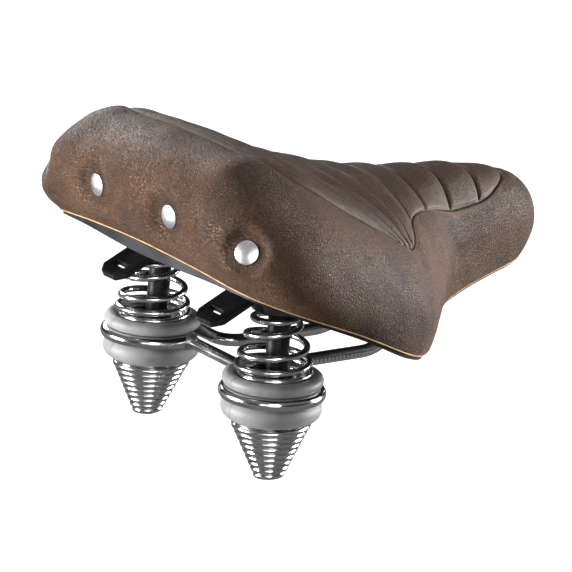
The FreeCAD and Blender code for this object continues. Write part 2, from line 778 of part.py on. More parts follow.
# ------------------------------------------------------------------- foam pad
FOAM_END = 1.7  # rise at which the foam's upper face stops
FOAM_RISES = ([0, 0.05, 0.12, 0.22, 0.34, 0.45, 0.55, 0.63, 0.69, OUTER_START]
              + [rise for rise in OUTER_RISES if rise < FOAM_END] + [FOAM_END])


def make_foam():
    top = layer_patch(dims["cover_thick"] + dims["layer_gap"], [FOAM_RISES] * len(LOOPS))
    low = dome_patch(INSET, 0.6, 0.97)
    foam = mirrored_solid([top, low, strip(rim_of(top), rim_of(low))])
    for side, _ in SIDES:
        centre = post_point(side, PILLAR_AXIS_Z)
        foam = foam.cut(Part.makeCylinder(dims["pillar_dia"] / 2 + 0.3, 20,
                                          Vector(centre.x, centre.y, 50.3)))
        foam = foam.cut(cylinder(SEAT_RAD, 8.0, post_frame(side), BOLT_SEAT - 0.2))
    for placement in RIVET_PLACES:
        foam = foam.cut(cylinder(dims["rivet_shank"] / 2 + 0.2, 9, placement, -8))
        foam = foam.cut(cylinder(dims["burr_dia"] / 2 + 0.4, 2.4, placement, -7.4))
    return single(foam)


shape_part("foam_pad", make_foam())

# --------------------------------------------------------- rivets and washers
RIVET_LIFT = 0.06  # head clear of the cover
RIVET_RIM = 0.5  # straight rim under the domed head
BURR_Z = -6.6


def make_rivets():
    """One turned master, copied to four places."""
    master = doc.addObject("PartDesign::Body", "rivet_master")
    sketch = sketch_on(master, "rivet_profile", "XZ_Plane")
    head, shank = dims["rivet_head"] / 2, dims["rivet_shank"] / 2
    rise, foot = dims["rivet_dome"], -dims["rivet_len"]
    cap = rise - RIVET_RIM
    cap_rad = (head ** 2 + cap ** 2) / (2 * cap)
    rim_z, top_z = RIVET_LIFT + RIVET_RIM, RIVET_LIFT + rise
    mid_z = top_z - cap_rad + math.sqrt(cap_rad ** 2 - head ** 2 / 4)
    add_all(sketch, [
        line((0, foot), (shank, foot)), line((shank, foot), (shank, RIVET_LIFT)),
        line((shank, RIVET_LIFT), (head, RIVET_LIFT)), line((head, RIVET_LIFT), (head, rim_z)),
        Part.Arc(Vector(head, rim_z, 0), Vector(head / 2, mid_z, 0), Vector(0, top_z, 0)),
        line((0, top_z), (0, foot))])
    revolve(master, "rivet_turn", sketch)
    doc.recompute()
    rivets = []
    for placement in RIVET_PLACES:
        rivet = master.Shape.copy()
        rivet.Placement = placement
        rivets.append(rivet.Solids[0])
    return Part.makeCompound(rivets)


def make_burrs():
    burrs = []
    for placement in RIVET_PLACES:
        burr = cylinder(dims["burr_dia"] / 2, dims["burr_thick"], None, BURR_Z)
        burr = burr.cut(cylinder(dims["rivet_shank"] / 2 + 0.02, 4, None, -8))
        burr.Placement = placement
        burrs.append(burr.Solids[0])
    return Part.makeCompound(burrs)


shape_part("decor_rivets", make_rivets())
shape_part("rivet_burr_washers", make_burrs())

# ------------------------------------------------- bead round the cover's edge
BEAD_IN, BEAD_DROP = 1.05, -0.45  # bead centre from the cover's edge
bead_half = 0.7 * (dims["bead_dia"] / 2 - 0.1)
bead_curves = [loop_curve([edge_point(loop, BEAD_IN + across * bead_half,
                                      BEAD_DROP + up * bead_half) for loop in LOOPS])
               for across, up in ((-1, -1), (1, -1), (1, 1), (-1, 1))]
bead = mirrored_solid([strip(bead_curves[i], bead_curves[(i + 1) % 4]) for i in range(4)])
shape_part("cover_edge_bead", single(bead))

# ----------------------------------------------------------------- rail frame
RING_CENTRES = dict((side, Vector(dims["ring_x"], side * dims["ring_y"], 0)) for side, _ in SIDES)
RING_RAD = dims["ring_rad"]


def rounded(corners, radii):
    """Lines and arcs through corner points; radii for the inner corners."""
    edges, reached = [], corners[0]
    for i in range(1, len(corners) - 1):
        corner, radius = corners[i], radii[i - 1]
        back, ahead = unit(corners[i - 1] - corner), unit(corners[i + 1] - corner)
        angle = math.acos(max(-1, min(1, back.dot(ahead))))
        trim = radius / math.tan(angle / 2)
        start, end = corner + back * trim, corner + ahead * trim
        middle = corner + unit(back + ahead) * (radius / math.sin(angle / 2) - radius)
        if (start - reached).Length > 1e-6:
            edges.append(Part.makeLine(reached, start))
        edges.append(Part.Arc(start, middle, end).toShape())
        reached = end
    edges.append(Part.makeLine(reached, corners[-1]))
    return edges


def ring_arc(side):
    """Open ring, swept from its front point round the outer side."""
    def on_ring(degrees):
        angle = math.radians(degrees)
        return RING_CENTRES[side] + Vector(RING_RAD * math.cos(angle),
                                           side * RING_RAD * math.sin(angle), 0)
    sweep = dims["ring_sweep"]
    return Part.Arc(on_ring(0), on_ring(sweep / 2), on_ring(sweep)).toShape()


def make_rail():
    ring_front, rail_y = dims["ring_x"] + RING_RAD, dims["rail_gap"] / 2
    left = [Vector(ring_front, dims["ring_y"], 0), Vector(ring_front, rail_y, 0),
            Vector(dims["rail_front_x"], rail_y, 0),
            Vector(NOSE_BAR.x, dims["nose_bar_half"], NOSE_BAR.z)]
    right = [Vector(p.x, -p.y, p.z) for p in left[::-1]]
    bends = [dims["rail_rear_bend"], dims["rail_front_bend"], dims["nose_bar_bend"]]
    edges = [ring_arc(1)] + rounded(left + right, bends + bends[::-1]) + [ring_arc(-1)]
    wire = Part.Wire(Part.sortEdges(edges)[0])
    path = shape_object("rail_path", wire)
    start, edge = wire.OrderedVertexes[0].Point, wire.OrderedEdges[0]
    at_first = (edge.valueAt(edge.FirstParameter) - start).Length < 1e-6
    tangent = edge.tangentAt(edge.FirstParameter if at_first else edge.LastParameter)
    section = doc.addObject("Part::Circle", "rail_section")
    bind(section, Radius="dims.rail_dia / 2")
    section.Placement = facing(start, tangent)
    doc.recompute()
    rail = doc.addObject("Part::Sweep", "rail_wire_frame")
    rail.Sections = [section]
    rail.Spine = (path, ["Edge%d" % (i + 1) for i in range(len(wire.Edges))])
    rail.Solid = True
    rail.Frenet = False
    export_part(rail, "rail_wire_frame")


def make_brace():
    """Cross brace between the rings, its ends fish-mouthed to the ring wire."""
    spaces = []
    for side, word in SIDES:
        space = doc.addObject("Part::Torus", "ring_space_" + word)
        bind(space, Radius1="dims.ring_rad", Radius2="dims.rail_dia / 2 + dims.run_gap")
        space.Placement = Placement(RING_CENTRES[side], Rotation())
        spaces.append(space)
    bar = doc.addObject("Part::Cylinder", "brace_bar")
    bind(bar, Radius="dims.brace_dia / 2",
         Height="2 * (dims.ring_y - sqrt(dims.ring_rad ^ 2 - (dims.brace_x - dims.ring_x) ^ 2))")
    doc.recompute()
    bar.Placement = Placement(Vector(dims["brace_x"], bar.Height.Value / 2, 0),
                              Rotation(Vector(1, 0, 0), 90))
    both = doc.addObject("Part::Fuse", "ring_spaces")
    both.Base, both.Tool = spaces
    brace = doc.addObject("Part::Cut", "cross_brace")
    brace.Base, brace.Tool = bar, both
    export_part(brace, "cross_brace")


def make_collars():
    """Weld collars where the brace meets each ring."""
    brace_x, brace_rad, wire_rad = dims["brace_x"], dims["brace_dia"] / 2, dims["rail_dia"] / 2
    meet_y = dims["ring_y"] - math.sqrt((RING_RAD + wire_rad) ** 2
                                        - (brace_x - dims["ring_x"]) ** 2)
    collars = []
    for side, _ in SIDES:
        outwards = Vector(0, side, 0)
        start = Vector(brace_x, side * (meet_y - dims["collar_len"]), 0)
        collar = Part.makeCone(brace_rad + 0.4, dims["collar_dia"] / 2,
                               dims["collar_len"] + 1.5, start, outwards)
        collar = collar.cut(Part.makeCylinder(brace_rad + 0.03, 60,
                                              Vector(brace_x, side * 10, 0), outwards))
        ring = Part.makeTorus(RING_RAD, wire_rad + 0.06)
        ring.Placement = Placement(RING_CENTRES[side], Rotation())
        collar = collar.cut(ring)
        collars.append(max(collar.Solids, key=lambda solid: solid.Volume))
    return Part.makeCompound(collars)


make_rail()
make_brace()
shape_part("brace_weld_collars", make_collars())

# ------------------------------------------------------------------ elastomers
BULGE_LOW_Z, BULGE_HIGH_Z = -8.0, 6.6  # heights of the two bulges
GROOVE_LIP_ANGLE = 100  # degrees from outward to each lip of the ring groove
BORE_CHAMFER = 3.2
NECK_LAND = 0.2  # flat left on each end face


def make_elastomer(side, word):
    """Turned sleeve inside a ring, grooved round the ring's wire."""
    body = doc.addObject("PartDesign::Body", "elastomer_" + word)
    sketch = sketch_on(body, "elastomer_profile_" + word, "XZ_Plane")
    bore, neck, bulge = dims["elast_bore"], dims["elast_neck"], dims["elast_bulge"]
    top, foot, groove = dims["elast_top"], dims["elast_foot"], dims["elast_groove"]
    angle = math.radians(GROOVE_LIP_ANGLE)
    lip_rad, lip_z = RING_RAD + groove * math.cos(angle), groove * math.sin(angle)
    low_lip, high_lip = Vector(lip_rad, -lip_z, 0), Vector(lip_rad, lip_z, 0)
    bore_foot, bore_top = (bore, foot + BORE_CHAMFER), (bore, top - BORE_CHAMFER)
    land_foot, land_top = (neck - NECK_LAND, foot), (neck - NECK_LAND, top)
    add_all(sketch, [
        line(bore_top, bore_foot), line(bore_foot, land_foot), line(land_foot, (neck, foot)),
        Part.Arc(Vector(neck, foot, 0), Vector(bulge, BULGE_LOW_Z, 0), low_lip),
        Part.Arc(low_lip, Vector(RING_RAD - groove, 0, 0), high_lip),
        Part.Arc(high_lip, Vector(bulge, BULGE_HIGH_Z, 0), Vector(neck, top, 0)),
        line((neck, top), land_top), line(land_top, bore_top)])
    revolve(body, "elastomer_turn_" + word, sketch)
    body.Placement = Placement(RING_CENTRES[side], Rotation())
    export_part(body, "elastomer_" + word)


for side, word in SIDES:
    make_elastomer(side, word)

# --------------------------------------------------------------------- springs
wire_rad = dims["wire_dia"] / 2
COIL_START = 35  # degrees from +X at turn 0
STEPS_PER_TURN = 20
# (turn, radius, z) of the wire's centre line
UPPER_COIL = [(0, 11.6, 41.4), (1, 12.0, 37.6), (2, 16.2, 26.4), (3, 18.0, 17.6),
              (4, 19.2, 12.2), (5, 16.7, 8.3), (6, 16.7, 4.7), (7, 16.7, 1.1)]
LOWER_COIL = [(-3, 16.7, -5.2), (-2, 16.7, -8.8), (-1, 16.7, -12.4)]
# the lower coil goes on as a cone below the elastomer
cone_top_z = dims["elast_foot"] - wire_rad - 0.25
for i in range(10):
    share = i / 9.0
    LOWER_COIL.append((
        dims["cone_turns"] * share,
        dims["cone_top_rad"] + (dims["cone_tip_rad"] - dims["cone_top_rad"]) * share,
        cone_top_z + (dims["cone_tip_z"] - cone_top_z) * share))


def coil(knots, side):
    """Round wire coiled through the knots; its axis splays outward below the elastomer."""
    turns = [knot[0] for knot in knots]
    radius_at = MonotoneSpline(turns, [knot[1] for knot in knots])
    z_at = MonotoneSpline(turns, [knot[2] for knot in knots])
    steps = int((turns[-1] - turns[0]) * STEPS_PER_TURN) + 1
    foot = dims["elast_foot"]
    points = []
    for i in range(steps + 1):
        turn = turns[0] + (turns[-1] - turns[0]) * i / steps
        angle = math.radians(COIL_START - 360 * turn)
        radius, z = radius_at(turn), z_at(turn)
        axis_y = (dims["ring_y"]
                  + dims["cone_splay"] * max(0.0, foot - z) / (foot - AXIS_FOOT_Z))
        points.append(Vector(dims["ring_x"] + radius * math.cos(angle),
                             side * axis_y + radius * math.sin(angle), z))
    spine = Part.BSplineCurve()
    spine.interpolate(points)
    tangent = spine.tangent(spine.FirstParameter)[0]
    section = Part.Wire(Part.makeCircle(wire_rad, points[0], tangent))
    return single(Part.Wire(spine.toShape()).makePipeShell([section], True, True))


for side, word in SIDES:
    shape_part("upper_spring_" + word, coil(UPPER_COIL, side))
    shape_part("cone_spring_" + word, coil(LOWER_COIL, side))

# -------------------------------------------------------------- posts and cups
post_top = post_travel(dims["post_top_z"])
peg_top = post_travel(dims["post_foot_z"])
TAB_OVERLAP = 0.8  # plate and root run this far past the bend
TAB_ROUNDING = 2.0


def make_post(side, word):
    """Leaning shaft with a thinner peg below and a bolt hole in its top."""
    body = doc.addObject("PartDesign::Body", "suspension_post_" + word)
    sketch = disc_sketch(body, "post_circle_" + word, "post_dia", peg_top)
    pad(body, "post_shaft_" + word, sketch, post_top - peg_top)
    peg_len = dims["post_peg_len"]
    sketch = disc_sketch(body, "peg_circle_" + word, "post_peg_dia", peg_top - peg_len)
    peg = pad(body, "post_peg_" + word, sketch, peg_len + 1)
    sketch = disc_sketch(body, "bolt_circle_" + word, "post_bolt_hole", post_top)
    pocket(body, "post_bolt_hole_" + word, sketch, peg, 100, dims["post_bolt_depth"])
    body.Placement = post_frame(side)
    export_part(body, "suspension_post_" + word)


def make_tab_plate(side, word):
    """Slotted plate behind the bend, tilted about it."""
    rear_x, bend_x, corner = dims["tab_rear_x"], dims["tab_bend_x"], dims["tab_corner"]
    slot_x, slot_y = dims["slot_x"], dims["slot_y"]
    outer_y, inner_y = slot_y + dims["tab_wide"] / 2, slot_y - dims["tab_wide"] / 2
    body = doc.addObject("PartDesign::Body", "tab_plate_" + word)
    outline = [(rear_x + corner, outer_y), (rear_x, outer_y - corner),
               (rear_x, inner_y + corner), (rear_x + corner, inner_y),
               (bend_x + TAB_OVERLAP, inner_y), (bend_x + TAB_OVERLAP, outer_y)]
    sketch = polygon_sketch(body, "tab_outline_" + word, [(x, side * y) for x, y in outline])
    plate = pad(body, "tab_pad_" + word, sketch, "dims.tab_thick")
    half_x, half_y = dims["slot_wide"] / 2, dims["slot_long"] / 2
    slot = [(slot_x + across * half_x, side * slot_y + along * half_y)
            for across, along in ((-1, -1), (1, -1), (1, 1), (-1, 1))]
    sketch = polygon_sketch(body, "slot_outline_" + word, slot)
    slotted = pocket(body, "slot_cut_" + word, sketch, plate, 20)
    # the four rear corners of the plate, not those of the slot
    fillet_uprights(body, "tab_rounding_" + word, slotted, TAB_ROUNDING,
                    lambda p: p.x < slot_x - 0.5 and abs(abs(p.y) - slot_y) > half_y + 0.1)
    turn = Rotation(Vector(0, 1, 0), -dims["tab_tilt"])
    body.Placement = Placement(
        Vector(bend_x, 0, dims["tab_z"]) - turn.multVec(Vector(bend_x, 0, 0)), turn)
    return body


def make_tab_root(side, word):
    """Level plate from the bend into the cup."""
    rear_x, front_x = dims["tab_bend_x"] - TAB_OVERLAP, dims["ring_x"] + 2
    outer_y = dims["slot_y"] + dims["tab_wide"] / 2
    inner_y = dims["slot_y"] - dims["tab_wide"] / 2
    body = doc.addObject("PartDesign::Body", "tab_root_" + word)
    outline = [(rear_x, outer_y), (rear_x, inner_y), (front_x - 14, inner_y),
               (front_x, inner_y + 6), (front_x, outer_y + 8), (front_x - 13, outer_y)]
    sketch = polygon_sketch(body, "tab_root_outline_" + word,
                            [(x, side * y) for x, y in outline])
    pad(body, "tab_root_pad_" + word, sketch, "dims.tab_thick")
    body.Placement = Placement(Vector(0, 0, dims["tab_z"]), Rotation())
    return body


def make_cup(side, word):
    """Spring cup with its bag-loop tab, bored for the post and its bolt."""
    centre = post_point(side, 47.5)
    cup = doc.addObject("Part::Cylinder", "cup_body_" + word)
    bind(cup, Radius="dims.cup_dia / 2", Height="dims.cup_top_z - dims.cup_foot_z")
    cup.Placement = Placement(Vector(centre.x, centre.y, dims["cup_foot_z"]), Rotation())
    plate = make_tab_plate(side, word)
    root = make_tab_root(side, word)
    doc.recompute()
    joined = doc.addObject("Part::MultiFuse", "cup_and_tab_" + word)
    joined.Shapes = [cup, root, plate]
    bore = doc.addObject("Part::Cylinder", "cup_bore_" + word)
    bind(bore, Radius="dims.post_dia / 2 + dims.run_gap")
    bore.Height = post_top + dims["run_gap"]
    bore.Placement = post_frame(side)
    hole = doc.addObject("Part::Cylinder", "cup_bolt_hole_" + word)
    bind(hole, Radius="dims.bolt_dia / 2 + dims.hole_gap")
    hole.Height = 120
    hole.Placement = post_frame(side)
    cutters = doc.addObject("Part::Fuse", "cup_cutters_" + word)
    cutters.Base, cutters.Tool = bore, hole
    bored = doc.addObject("Part::Cut", "bag_loop_cup_" + word)
    bored.Base, bored.Tool = joined, cutters
    export_part(bored, "bag_loop_cup_" + word)


for side, word in SIDES:
    make_post(side, word)
    make_cup(side, word)

# ----------------------------------------------------------- bolts and washers
# They pull the posts up into the base.
BOLT_REACH = 14  # how far the bolt runs down into the post


def hex_socket(x, radius, z, depth):
    """Hexagonal prism from a level z, up or down by depth."""
    corners = [Vector(x + radius * math.cos(math.radians(60 * i)),
                      radius * math.sin(math.radians(60 * i)), z) for i in range(7)]
    return Part.Face(Part.makePolygon(corners)).extrude(Vector(0, 0, depth))


def make_bolt(side):
    head_z = BOLT_SEAT + dims["washer_thick"] + 0.04
    tip = post_top - BOLT_REACH
    bolt = cylinder(dims["bolt_dia"] / 2 - 0.02, head_z - tip + 0.5, None, tip)
    head = cylinder(dims["bolt_head_dia"] / 2, dims["bolt_head_high"], None, head_z)
    socket = hex_socket(0, dims["bolt_hex"] / math.sqrt(3), head_z + dims["bolt_head_high"], -2.4)
    bolt = bolt.fuse(head).removeSplitter().cut(socket).Solids[0]
    bolt.Placement = post_frame(side)
    return bolt


def make_washers():
    master = doc.addObject("PartDesign::Body", "washer_master")
    sketch = disc_sketch(master, "washer_circles", "washer_dia")
    sketch.addGeometry(circle(0, 0, dims["bolt_dia"] / 2 + 0.15), False)
    pad(master, "washer_pad", sketch, "dims.washer_thick")
    washers = []
    for side, _ in SIDES:
        washer = master.Shape.Solids[0].copy()
        washer.Placement = post_frame(side, BOLT_SEAT + 0.02)
        washers.append(washer)
    return Part.makeCompound(washers)


shape_part("post_bolts", Part.makeCompound([make_bolt(side) for side, _ in SIDES]))
shape_part("post_bolt_washers", make_washers())

# ------------------------------------------------------- nose clamp and screws
CLAMP_ROUNDING = 3.0


def make_clamp():
    """Plate under the nose bar, grooved for it."""
    body = doc.addObject("PartDesign::Body", "nose_clamp_plate")
    half_x, half_y = dims["block_long"] / 2, dims["block_wide"] / 2
    sketch = polygon_sketch(body, "clamp_outline", [(-half_x, -half_y), (half_x, -half_y),
                                                    (half_x, half_y), (-half_x, half_y)])
    plate = pad(body, "clamp_pad", sketch, "dims.nose_bar_z - dims.run_gap - dims.clamp_z")
    sketch = sketch_on(body, "clamp_screw_circles", "XY_Plane")
    add_all(sketch, [circle(x - NOSE_BAR.x, 0, dims["clamp_screw_dia"] / 2 + 0.1)
                     for x in SCREW_XS])
    drilled = pocket(body, "clamp_screw_holes", sketch, plate, 20)
    fillet_uprights(body, "clamp_corners", drilled, CLAMP_ROUNDING,
                    lambda p: abs(abs(p.y) - half_y) < 1e-6)
    body.Placement = Placement(Vector(NOSE_BAR.x, 0, dims["clamp_z"]), Rotation())
    space = doc.addObject("Part::Cylinder", "nose_bar_space")
    bind(space, Radius="dims.rail_dia / 2 + dims.run_gap")
    space.Height = 2 * BAR_SPACE_HALF
    space.Placement = Placement(NOSE_BAR + Vector(0, BAR_SPACE_HALF, 0),
                                Rotation(Vector(1, 0, 0), 90))
    clamp = doc.addObject("Part::Cut", "nose_clamp")
    clamp.Base, clamp.Tool = body, space
    export_part(clamp, "nose_clamp")


def make_screw(x):
    """Screw up through the clamp, its head and socket below."""
    clamp_z = dims["clamp_z"]
    head_z = clamp_z - 2.65
    shank = Part.makeCylinder(dims["clamp_screw_dia"] / 2 - 0.02, 12.0,
                              Vector(x, 0, clamp_z - 0.5))
    head = Part.makeCylinder(dims["clamp_screw_head"] / 2, 2.6, Vector(x, 0, head_z))
    socket = hex_socket(x, 1.45, head_z, 1.6)
    return shank.fuse(head).removeSplitter().cut(socket).Solids[0]


make_clamp()
shape_part("nose_clamp_screws", Part.makeCompound([make_screw(x) for x in SCREW_XS]))

# ------------------------------------------------------------ check and export
doc.recompute()
faults = []
for obj in doc.Objects:
    if any(word in ("Invalid", "Error") for word in obj.State):
        faults.append("%s: %s" % (obj.Name, obj.State))
for obj, name in PARTS:
    if obj.Shape.isNull() or not obj.Shape.isValid() or not obj.Shape.Solids:
        faults.append("%s: shape not usable" % name)
if faults:
    raise SystemExit("failed: " + "; ".join(faults))
for obj, name in PARTS:
    obj.Shape.exportStep("parts/%s.step" % name)
print("wrote %d parts" % len(PARTS))
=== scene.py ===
import bpy
import bmesh
import math
from collections import namedtuple

import numpy as np
from mathutils import Matrix, Vector

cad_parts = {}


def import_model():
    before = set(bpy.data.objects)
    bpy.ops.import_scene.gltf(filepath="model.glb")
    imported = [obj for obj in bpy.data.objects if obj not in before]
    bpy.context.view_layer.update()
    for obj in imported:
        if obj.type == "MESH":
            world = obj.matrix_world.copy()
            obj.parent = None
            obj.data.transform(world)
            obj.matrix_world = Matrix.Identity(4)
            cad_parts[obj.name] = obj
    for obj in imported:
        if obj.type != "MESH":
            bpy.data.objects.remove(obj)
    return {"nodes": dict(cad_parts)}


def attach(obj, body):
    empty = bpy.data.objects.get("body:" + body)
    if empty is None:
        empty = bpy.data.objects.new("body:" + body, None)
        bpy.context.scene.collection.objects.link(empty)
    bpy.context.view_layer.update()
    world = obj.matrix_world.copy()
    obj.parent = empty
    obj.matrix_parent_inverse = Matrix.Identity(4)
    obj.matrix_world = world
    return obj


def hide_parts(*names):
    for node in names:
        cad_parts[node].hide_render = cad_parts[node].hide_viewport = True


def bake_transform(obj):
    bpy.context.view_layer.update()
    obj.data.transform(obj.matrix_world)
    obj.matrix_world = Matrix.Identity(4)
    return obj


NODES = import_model()["nodes"]
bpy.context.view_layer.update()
scene = bpy.context.scene
scene.view_settings.view_transform = "Standard"
scene.view_settings.look = "None"

# ------------------------------------------------------------ design tables
# Stations round the left half of the seat, rear centre to nose tip. Columns: widest line
# x, y, z; cover edge x, y, z; x where the section meets the centre line; then the power and
# the root that shape the section over the crown.
Station = namedtuple("Station", "wide_x wide_y wide_z edge_x edge_y edge_z spine_x power root")
STATIONS = np.array([
    (-119, 0, 96, -108, 0, 71, -67, 4.5, 2),
    (-118.2, 30, 95, -107.2, 31, 70, -66, 4.5, 1.9),
    (-116.8, 63, 91, -105.6, 61, 68, -64, 4.5, 1.6),
    (-110.5, 96, 83, -100, 92, 64, -60, 3.6, 1.5),
    (-90, 114, 74, -81, 109, 57, -53, 3, 1.7),
    (-54, 118, 63, -49, 113, 45, -40, 2.8, 2.1),
    (-20, 113, 52, -20, 109, 32, -24, 2.6, 2.0),
    (9, 99, 45, 7, 95, 21.5, -6, 2.4, 2.0),
    (30.5, 77, 46, 28.5, 75.5, 20.5, 10, 2.2, 2.0),
    (50, 56, 50, 47, 56, 23, 28, 2.2, 2.0),
    (68, 38, 56, 66, 38, 27.5, 52, 2.2, 2.0),
    (94, 31, 60, 93, 29, 33.5, 82, 2.3, 2.0),
    (121, 26, 61, 118, 23, 38, 104, 2.4, 2.0),
    (141, 16, 59, 135, 14, 40, 114, 2.4, 2.0),
    (149.5, 0, 57, 143, 0, 42, 118, 2.4, 2.0)])
# x, z of the crown along the centre line
CROWN = [(-125, 124), (-110, 125.6), (-100, 126.2), (-88, 126), (-76, 125.2), (-60, 121.2),
         (-45, 113.9), (-30, 108.2), (-10, 102.2), (11, 98), (31, 95.3), (52, 94.2), (74, 93.4),
         (96, 91.7), (118, 88.2), (130, 86)]
# x, z of the domed underside of the foam
DOME = [(-125, 80), (-100, 80), (-60, 73), (0, 62), (50, 58), (100, 58), (130, 55), (150, 50)]
# x, y of the left half of the ribbed panel's outline, rear to nose
PANEL = np.array([
    (-80, 0), (-80.5, 15), (-81, 33), (-81, 50), (-79, 62), (-74, 71), (-66, 78), (-56, 83),
    (-40, 87), (-13, 88.5), (0, 87.5), (8, 81), (14, 72), (23, 58), (34, 47), (48, 39),
    (58, 34.5), (68.5, 31.5), (80, 29), (91, 27), (102, 24), (110, 19.5), (118, 13),
    (122.5, 6), (124, 0)])
# Left rivets: seat point and outward axis
RIVETS = [((-113.29103, 34.10676, 92.16752), (-0.99387, 0.033392, -0.105389)),
          ((-105.76495, 92.4306, 87.95107), (-0.752344, 0.551823, 0.359821))]
# x on the centre line, then x, y at the outer end, of each line between ribs, rear to nose
RIB_LINES = [(-80, -16, 88.2), (-63, -11, 88.2), (-45, -7, 88.1), (-27, -3, 87.9),
             (-9, 1, 86.8), (10, 4.6, 84.0), (29, 23, 58), (48, 47.3, 39.4), (72.5, 70.5, 31.0),
             (97.5, 93.5, 26.4), (124, 112, 17.9)]
# Coil springs: turns, radius, z. The cone ends in a straight taper from top to foot.
UPPER_COIL = np.array([
    (0, 11.6, 41.4), (1, 12.0, 37.6), (2, 16.2, 26.4), (3, 18.0, 17.6), (4, 19.2, 12.2),
    (5, 16.7, 8.3), (6, 16.7, 4.7), (7, 16.7, 1.1)])
CONE_HEAD = [(-3, 16.7, -5.2), (-2, 16.7, -8.8), (-1, 16.7, -12.4)]
TAPER_TOP = np.array([0, 19.5, -16.0])
TAPER_FOOT = np.array([8.9, 6.0, -45.7])
SPRING_X, SPRING_Y = -60.0, 57.0
WIRE_RADIUS = 1.75

LEATHER = 1.5              # thickness of the cover
SEAM_SWELL = 0.42          # how far the cover stands proud beside the panel seam
# Plan distance outside the panel outline and depth below the surface, across the cover's seam
SEAM_OUT = np.array([0.25, 0.5, 0.9, 1.5, 2.3, 3.4, 5.0])
SEAM_DEPTH = np.array([1.45, 0.70, 0.22, -0.08, -0.25, -0.38, -SEAM_SWELL])
HEM = [(0.12, -0.35), (0.7, -0.55), (1.25, -0.35), (1.45, 0.0)]   # inward, up from cover edge


# ------------------------------------------------------------------- curves
def unit(value):
    return np.clip(value, 0, 1)


def smooth(value):
    return value * value * (3 - 2 * value)


def bell(distance, width):
    return np.exp(-(distance / width) ** 2)


def xyz_stack(x, y, z):
    return np.stack([x, y, z], -1)


def natural(knots, values):
    """Natural cubic spline as a function of a numpy array."""
    count = len(knots)
    gap = np.diff(knots)
    system = np.zeros((count, count))
    target = np.zeros(count)
    system[0, 0] = system[-1, -1] = 1
    for i in range(1, count - 1):
        system[i, i - 1:i + 2] = gap[i - 1], 2 * (gap[i - 1] + gap[i]), gap[i]
        target[i] = 3 * ((values[i + 1] - values[i]) / gap[i]
                         - (values[i] - values[i - 1]) / gap[i - 1])
    square = np.linalg.solve(system, target)
    linear = np.diff(values) / gap - gap * (square[1:] + 2 * square[:-1]) / 3
    cubic = np.diff(square) / (3 * gap)

    def curve(at):
        j = np.clip(np.searchsorted(knots, at, side="left") - 1, 0, count - 2)
        step = at - knots[j]
        return values[j] + step * (linear[j] + step * (square[j] + step * cubic[j]))
    return curve


def monotone(knots, values):
    """Monotone cubic as a function of a numpy array, held level past its ends."""
    knots, values = np.asarray(knots, float), np.asarray(values, float)
    gap = np.diff(knots)
    chord = np.diff(values) / gap
    slope = np.zeros(len(knots))
    slope[0], slope[-1] = chord[0], chord[-1]
    for i in range(1, len(knots) - 1):
        if chord[i - 1] * chord[i] > 0:
            before, after = 2 * gap[i] + gap[i - 1], gap[i] + 2 * gap[i - 1]
            slope[i] = (before + after) / (before / chord[i - 1] + after / chord[i])

    def curve(at):
        at = np.clip(np.asarray(at, float), knots[0], knots[-1])
        j = np.clip(np.searchsorted(knots, at, side="left") - 1, 0, len(knots) - 2)
        width = gap[j]
        t = (at - knots[j]) / width
        return (values[j] * (1 + 2 * t) * (1 - t) ** 2 + slope[j] * width * t * (1 - t) ** 2
                + values[j + 1] * t * t * (3 - 2 * t) + slope[j + 1] * width * t * t * (t - 1))
    return curve


def bisect(low, high, short):
    """Halve the range 26 times, going up wherever short(middle) is true."""
    for _ in range(26):
        middle = (low + high) / 2
        going_up = short(middle)
        low, high = np.where(going_up, middle, low), np.where(going_up, high, middle)
    return (low + high) / 2


def arc_lengths(points):
    return np.concatenate([[0], np.cumsum(np.linalg.norm(np.diff(points, axis=0), axis=1))])


def station_curves():
    """One spline per station column, carried three stations past the centre line at each end."""
    length = arc_lengths(STATIONS[:, :3])
    share = length / length[-1]
    knots = np.concatenate([-share[3:0:-1], share, 2 - share[-2:-5:-1]])
    rows = np.vstack([STATIONS[3:0:-1], STATIONS, STATIONS[-2:-5:-1]])
    curves = []
    for field, column in zip(Station._fields, rows.T):
        values = column.copy()
        if field in ("wide_y", "edge_y"):
            values[:3] *= -1
            values[-3:] *= -1
        if field == "spine_x":
            values[:3] = 2 * values[3] - values[:3]
            values[-3:] = 2 * values[-4] - values[-3:]
        curves.append(natural(knots, values))
    return Station(*curves)


CURVES = station_curves()
crown_z = monotone(*zip(*CROWN))
dome_z = monotone(*zip(*DOME))


def station(loop):
    return Station(*[curve(loop) for curve in CURVES])


# ------------------------------------------------------------- seat surface
# A point on the seat has two parameters: loop, 0 at the rear centre to 1 at the nose tip, and
# rise, 0 on the centre line, 1 on the widest line, 2 at the cover edge.
def crown_surface(x, y, outward, at):
    """Height over the crown, with the two low lobes at the rear."""
    arch = np.clip(1 - outward ** at.power, 0, None) ** (1 / at.root)
    z = at.wide_z + (crown_z(x) - at.wide_z) * arch
    lobes = bell(y - 66, 18) + bell(y + 66, 18)
    return z + 5 * bell(x + 90, 25) * lobes * unit((z - at.wide_z) / 30)


def raw_point(loop, rise):
    """Plain outer surface of the seat."""
    loop, rise = np.broadcast_arrays(loop, rise)
    at = station(loop)
    outward = np.sin(unit(rise) * np.pi / 2)
    x = at.spine_x + (at.wide_x - at.spine_x) * outward
    y = at.wide_y * outward
    z = crown_surface(x, y, outward, at)
    drop = np.clip(rise - 1, 0, None)
    skirt = rise > 1
    x = np.where(skirt, at.wide_x + (at.edge_x - at.wide_x) * drop * drop, x)
    y = np.where(skirt, at.wide_y + (at.edge_y - at.wide_y) * drop * drop, y)
    z = np.where(skirt, at.wide_z + (at.edge_z - at.wide_z) * drop, z)
    return xyz_stack(x, y, z)


